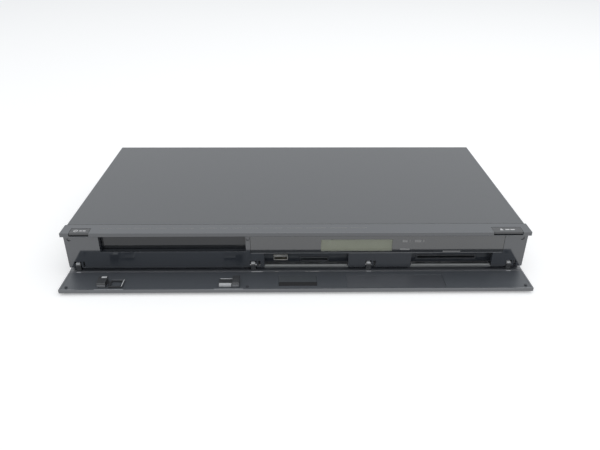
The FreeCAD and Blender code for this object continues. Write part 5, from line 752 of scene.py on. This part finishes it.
for left, tail in zip(arm_lefts, foot_tails):
    add_rolled(arm_highlight_mesh, left + highlight_side, left + arm_width - highlight_side * 2, highlight_out, highlight_in, shoulder_axis,
               highlight_sweep, highlight_start)
    add_slab(arm_highlight_mesh, (left + highlight_side, foot_front, arms_low.z - sunk),
             (left + arm_width + tail, foot_back, arms_low.z + foot_proud), 0.05 * mm)
# Pale grey for the painted highlights and reflections on the arms and on the guides.
painted_highlight_white = finish_of("painted_highlight_white", grained_skin, ((0.5, 0.51, 0.52), (0.6, 0.61, 0.62)), 500, 0.35, 0.1,
                      0.003 * mm)
fit_piece("arm_painted_highlights", arm_highlight_mesh, "flap", painted_highlight_white)

# Two guides on the liner steer the flap down as the tray comes out. Bright and grey pads on the
# guides are painted highlights and painted light on their lit faces, and two strips of grey tape
# lie on the flap's free edge.
guide_black = finish_of("guide_black", grained_skin, ((0.03, 0.032, 0.035), (0.045, 0.047, 0.05)), 400, 0.26,
                        0.12, 0.006 * mm, soft_edge=0.25 * mm, IOR=1.6)
dress(guide_black, "tray_guides")
guide_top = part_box("tray_guides")[1].z / mm
# Pale pads are painted highlights, and grey ones are painted light on the guides' lit faces.
guide_highlights = {
    "left_top": ((-178.6, -173.9), (-114.0, -111.6), (guide_top - 0.1, guide_top + 0.06)),
    "left_ramp": ((-159.4, -158.7), (-121.8, -111.4), (6.9, 7.55)),
    "right_front": ((-71.1, -60.0), (-121.5, -121.35), (5.9, 8.5)),
    "right_top": ((-71.1, -60.0), (-121.3, -119.3), (8.45, 8.62)),
    "right_back": ((-71.0, -59.6), (-111.7, -110.9), (7.5, 7.95))}
guide_lit_faces = {
    "left_front": ((-181.2, -173.8), (-121.5, -121.35), (5.8, 8.4)),
    "right_front": ((-59.1, -53.2), (-122.1, -121.9), (5.8, 8.6)),
    "left_back": ((-170.4, -159.4), (-112.0, -111.5), (6.9, 7.5))}
pad_and_strip_edge = 0.05 * mm
for name, pads, slot, finish in (("guide_painted_highlights", guide_highlights, "arm_plastic", painted_highlight_white),
                                 ("guide_painted_lit_faces", guide_lit_faces, "guide_plastic", line_grey)):
    painted_pad_mesh = bmesh.new()
    for (left, right), (front, back), (bottom, top) in pads.values():
        add_slab(painted_pad_mesh, (left * mm, front * mm, bottom * mm), (right * mm, back * mm, top * mm), pad_and_strip_edge)
    fit_piece(name, painted_pad_mesh, "flap", finish)
strip_spans = ((-183.3 * mm, -156.8 * mm), (-75.3 * mm, -49.2 * mm))
strip_inset = 0.25 * mm
strip_width = 0.8 * mm
strip_height = 0.25 * mm
tapes = bmesh.new()
for left, right in strip_spans:
    add_slab(tapes, (left, flap_front + strip_inset, liner_high.z),
             (right, flap_front + strip_inset + strip_width, liner_high.z + strip_height), pad_and_strip_edge)
tape_grey = finish_of("tape_grey", grained_skin, ((0.27, 0.28, 0.29), (0.32, 0.33, 0.34)), 500, 0.35, 0.1,
                      0.004 * mm)
fit_piece("edge_tapes", tapes, "flap", tape_grey)

# The top cover is folded steel under a fine matt grey paint. Its seam at the front is open by
# half a millimetre, and slots in its sides let the warm air out.
cover_skin = skin_effect("cover_paint", "ShaderNodeTexNoise", (1, 1, 1), 5.0)
cover_paint = finish_of("cover_paint", cover_skin, ((0.083, 0.087, 0.092), (0.091, 0.095, 0.101)), 700, 0.36,
                        0.08, 0.012 * mm, soft_edge=0.3 * mm, IOR=1.6)
dress(cover_paint, "top_cover")


# Seven pan-head screws with a cross recess hold the cover: two on each side, three at the back.
# They are zinc-plated and blackened, so that they match the cover.
def add_screw_head(built, seat, direction, radius, height):
    """A head with its cross recess, made flat about Z and then turned to its place."""
    slot = radius * 0.13
    reach = radius * 0.55
    depth = height * 0.6
    head = bmesh.new()
    bmesh.ops.create_circle(head, cap_ends=True, segments=32, radius=radius,
                            matrix=Matrix.Translation((0, 0, height)))
    for offset in (-reach, -slot, slot, reach):
        for normal in ((1, 0, 0), (0, 1, 0)):
            bmesh.ops.bisect_plane(head, geom=head.verts[:] + head.edges[:] + head.faces[:],
                                   plane_co=Vector(normal) * offset, plane_no=normal, dist=1e-8)
    cross = []
    for face in head.faces:
        spot = face.calc_center_median()
        if abs(spot.x) < slot and abs(spot.y) < reach or abs(spot.y) < slot and abs(spot.x) < reach:
            cross.append(face)
    sunken = bmesh.ops.extrude_face_region(head, geom=cross)
    bmesh.ops.delete(head, geom=cross, context="FACES")
    floor = [item for item in sunken["geom"] if isinstance(item, bmesh.types.BMVert)]
    bmesh.ops.translate(head, vec=(0, 0, -depth), verts=floor)
    skirt = bmesh.ops.extrude_edge_only(head, edges=[edge for edge in head.edges if edge.is_boundary])
    low = [item for item in skirt["geom"] if isinstance(item, bmesh.types.BMVert)]
    bmesh.ops.translate(head, vec=(0, 0, -height), verts=low)
    bmesh.ops.holes_fill(head, edges=[edge for edge in head.edges if edge.is_boundary], sides=0)
    top_rim = [edge for edge in head.edges if all(abs(point.co.z - height) < 1e-7 for point in edge.verts)
               and all(abs(point.co.to_2d().length - radius) < radius * 0.02 for point in edge.verts)]
    bmesh.ops.bevel(head, geom=top_rim, offset=height * 0.45, segments=3, profile=0.5, affect="EDGES",
                    material=-1)
    bmesh.ops.recalc_face_normals(head, faces=head.faces)
    bmesh.ops.transform(head, matrix=lathe_place(seat, direction), verts=head.verts)
    finished = bpy.data.meshes.new("screw_head")
    head.to_mesh(finished)
    head.free()
    built.from_mesh(finished)
    bpy.data.meshes.remove(finished)


cover_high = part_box("top_cover")[1]
lip_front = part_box("front_moulding")[0].y
head_radius = 3.2 * mm
head_height = 0.7 * mm
side_screw_depths = (50 * mm, 196 * mm)
side_screw_z = 11.5 * mm
rear_screw_z = cover_high.z - 4.0 * mm
rear_screw_spread = cover_high.x * 0.86
screws = bmesh.new()
for depth in side_screw_depths:
    for outward in (-1, 1):
        seat = (cover_high.x * outward, lip_front + depth, side_screw_z)
        add_screw_head(screws, seat, (outward, 0, 0), head_radius, head_height)
for x in (-rear_screw_spread, 0, rear_screw_spread):
    add_screw_head(screws, (x, cover_high.y, rear_screw_z), (0, 1, 0), head_radius, head_height)
screw_black = finish_of("screw_black", brushed_skin, ((0.1, 0.1, 0.105), (0.16, 0.16, 0.165)), 300, 0.3, 0.14,
                        0.004 * mm, Metallic=1.0)
fit_piece("screw_heads", screws, "recorder", screw_black, ["cover_screws"])

# Two satin caps ride over the lip's corners, one to switch the recorder on and one to open the
# tray. Each has its plain sign printed in white on top, with two bars in place of its word.
button_satin = finish_of("button_satin", grained_skin, ((0.03, 0.031, 0.034), (0.042, 0.043, 0.046)), 500,
                         0.3, 0.1, 0.005 * mm, soft_edge=0.25 * mm, IOR=1.7)
dress(button_satin, "power_button", "eject_button")
print_white = finish_of("print_white", grained_skin, ((0.6, 0.6, 0.6), (0.68, 0.68, 0.68)), 800, 0.5, 0.1,
                        0.002 * mm)
print_proud = 0.02 * mm


def add_printed_bar(built, left, right, front, back, top):
    """A flat printed bar on a surface that faces up."""
    add_slab(built, (left, front, top - sunk), (right, back, top + print_proud))


def add_bar_word(built, sign, starts, length, half):
    """Plain bars to the right of a printed sign, in place of its word."""
    for start in starts:
        add_printed_bar(built, sign.x + start, sign.x + start + length, sign.y - half, sign.y + half, sign.z)


sign_inset = 4.6 * mm
power_low, power_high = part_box("power_button")
power_place = Vector((power_low.x + 5.0 * mm, power_low.y + sign_inset, power_high.z))
circle_in = 1.3 * mm
circle_out = 1.9 * mm
stroke_half = 0.3 * mm
stroke_end = 2.4 * mm
power_sign = bmesh.new()
add_turned(power_sign, [(circle_in, -sunk), (circle_out, -sunk), (circle_out, print_proud),
                        (circle_in, print_proud)], power_place, (0, 0, 1), closed=True)
add_printed_bar(power_sign, power_place.x - stroke_half, power_place.x + stroke_half,
                power_place.y + stroke_half, power_place.y + stroke_end, power_place.z)
add_bar_word(power_sign, power_place, (3.2 * mm, 6.4 * mm), 2.6 * mm, 0.7 * mm)
fit_piece("power_sign", power_sign, "power_key", print_white, shaded=False)
eject_low, eject_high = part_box("eject_button")
eject_place = Vector((eject_low.x + 8.0 * mm, eject_low.y + sign_inset, eject_high.z))
arrow_radius = 1.9 * mm
arrow_centre = eject_place + Vector((0, 0.4 * mm, (print_proud - sunk) / 2))
base_half = 1.4 * mm
base_front = 1.3 * mm
base_back = 0.85 * mm
eject_sign = bmesh.new()
add_bar_word(eject_sign, eject_place, (3.4 * mm, 8.2 * mm), 3.9 * mm, 0.8 * mm)
bmesh.ops.create_cone(eject_sign, cap_ends=True, segments=3, radius1=arrow_radius, radius2=arrow_radius,
                      depth=sunk + print_proud, matrix=Matrix.Translation(arrow_centre))
add_printed_bar(eject_sign, eject_place.x - base_half, eject_place.x + base_half,
                eject_place.y - base_front, eject_place.y - base_back, eject_place.z)
fit_piece("eject_sign", eject_sign, "eject_key", print_white, shaded=False)

# Plain bars are printed where a recorder has its lettering: a faint row on the strip, and
# brighter ones beside the display and behind the flap's liner. They spell nothing.
strip_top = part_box("front_moulding")[1].z
row_y = lip_front + 9.3 * mm
row_half = 0.7 * mm
row_spans = ((-181, -170), (-166, -153), (-150, -134), (-130, -119.5), (-115.5, -94.5), (-90, -74),
             (-70.5, -63.5), (-59.5, -51), (-47, -35.5), (-31.5, -13.5), (-9.5, 5), (8.5, 27), (30.5, 46.5),
             (49.5, 64.5))
print_faint = finish_of("print_faint", grained_skin, ((0.145, 0.147, 0.15), (0.165, 0.167, 0.17)), 800, 0.45,
                        0.1, 0.002 * mm)
row = bmesh.new()
for left, right in row_spans:
    add_printed_bar(row, left * mm, right * mm, row_y - row_half, row_y + row_half, strip_top)
fit_piece("strip_row", row, "recorder", print_faint, shaded=False)
name_line = (36.3, 38.7)
panel_bars = (((97.7, 102.3), name_line), ((104.3, 104.9), name_line), ((109.2, 115.0), name_line),
              ((116.8, 118.0), name_line), ((96.0, 105.2), (28.0, 29.6)), ((136.4, 153.0), (25.9, 26.9)))
panel_print = bmesh.new()
for (left, right), (bottom, top) in panel_bars:
    add_slab(panel_print, (left * mm, panel_low.y - print_proud, bottom * mm),
             (right * mm, panel_low.y + sunk, top * mm))
print_grey = finish_of("print_grey", grained_skin, ((0.24, 0.24, 0.24), (0.3, 0.3, 0.3)), 800, 0.5, 0.1,
                       0.002 * mm)
fit_piece("panel_print", panel_print, "recorder", print_grey, shaded=False)
mark_spans = ((8 * mm, 10.5 * mm), (12 * mm, 21 * mm), (-21 * mm, -17.5 * mm))
mark_front = liner_high.y + 0.2 * mm
mark_back = liner_high.y + 1.4 * mm
flap_print = bmesh.new()
for left, right in mark_spans:
    add_printed_bar(flap_print, left, right, mark_front, mark_back, arms_low.z)
fit_piece("flap_print", flap_print, "flap", print_grey, shaded=False)
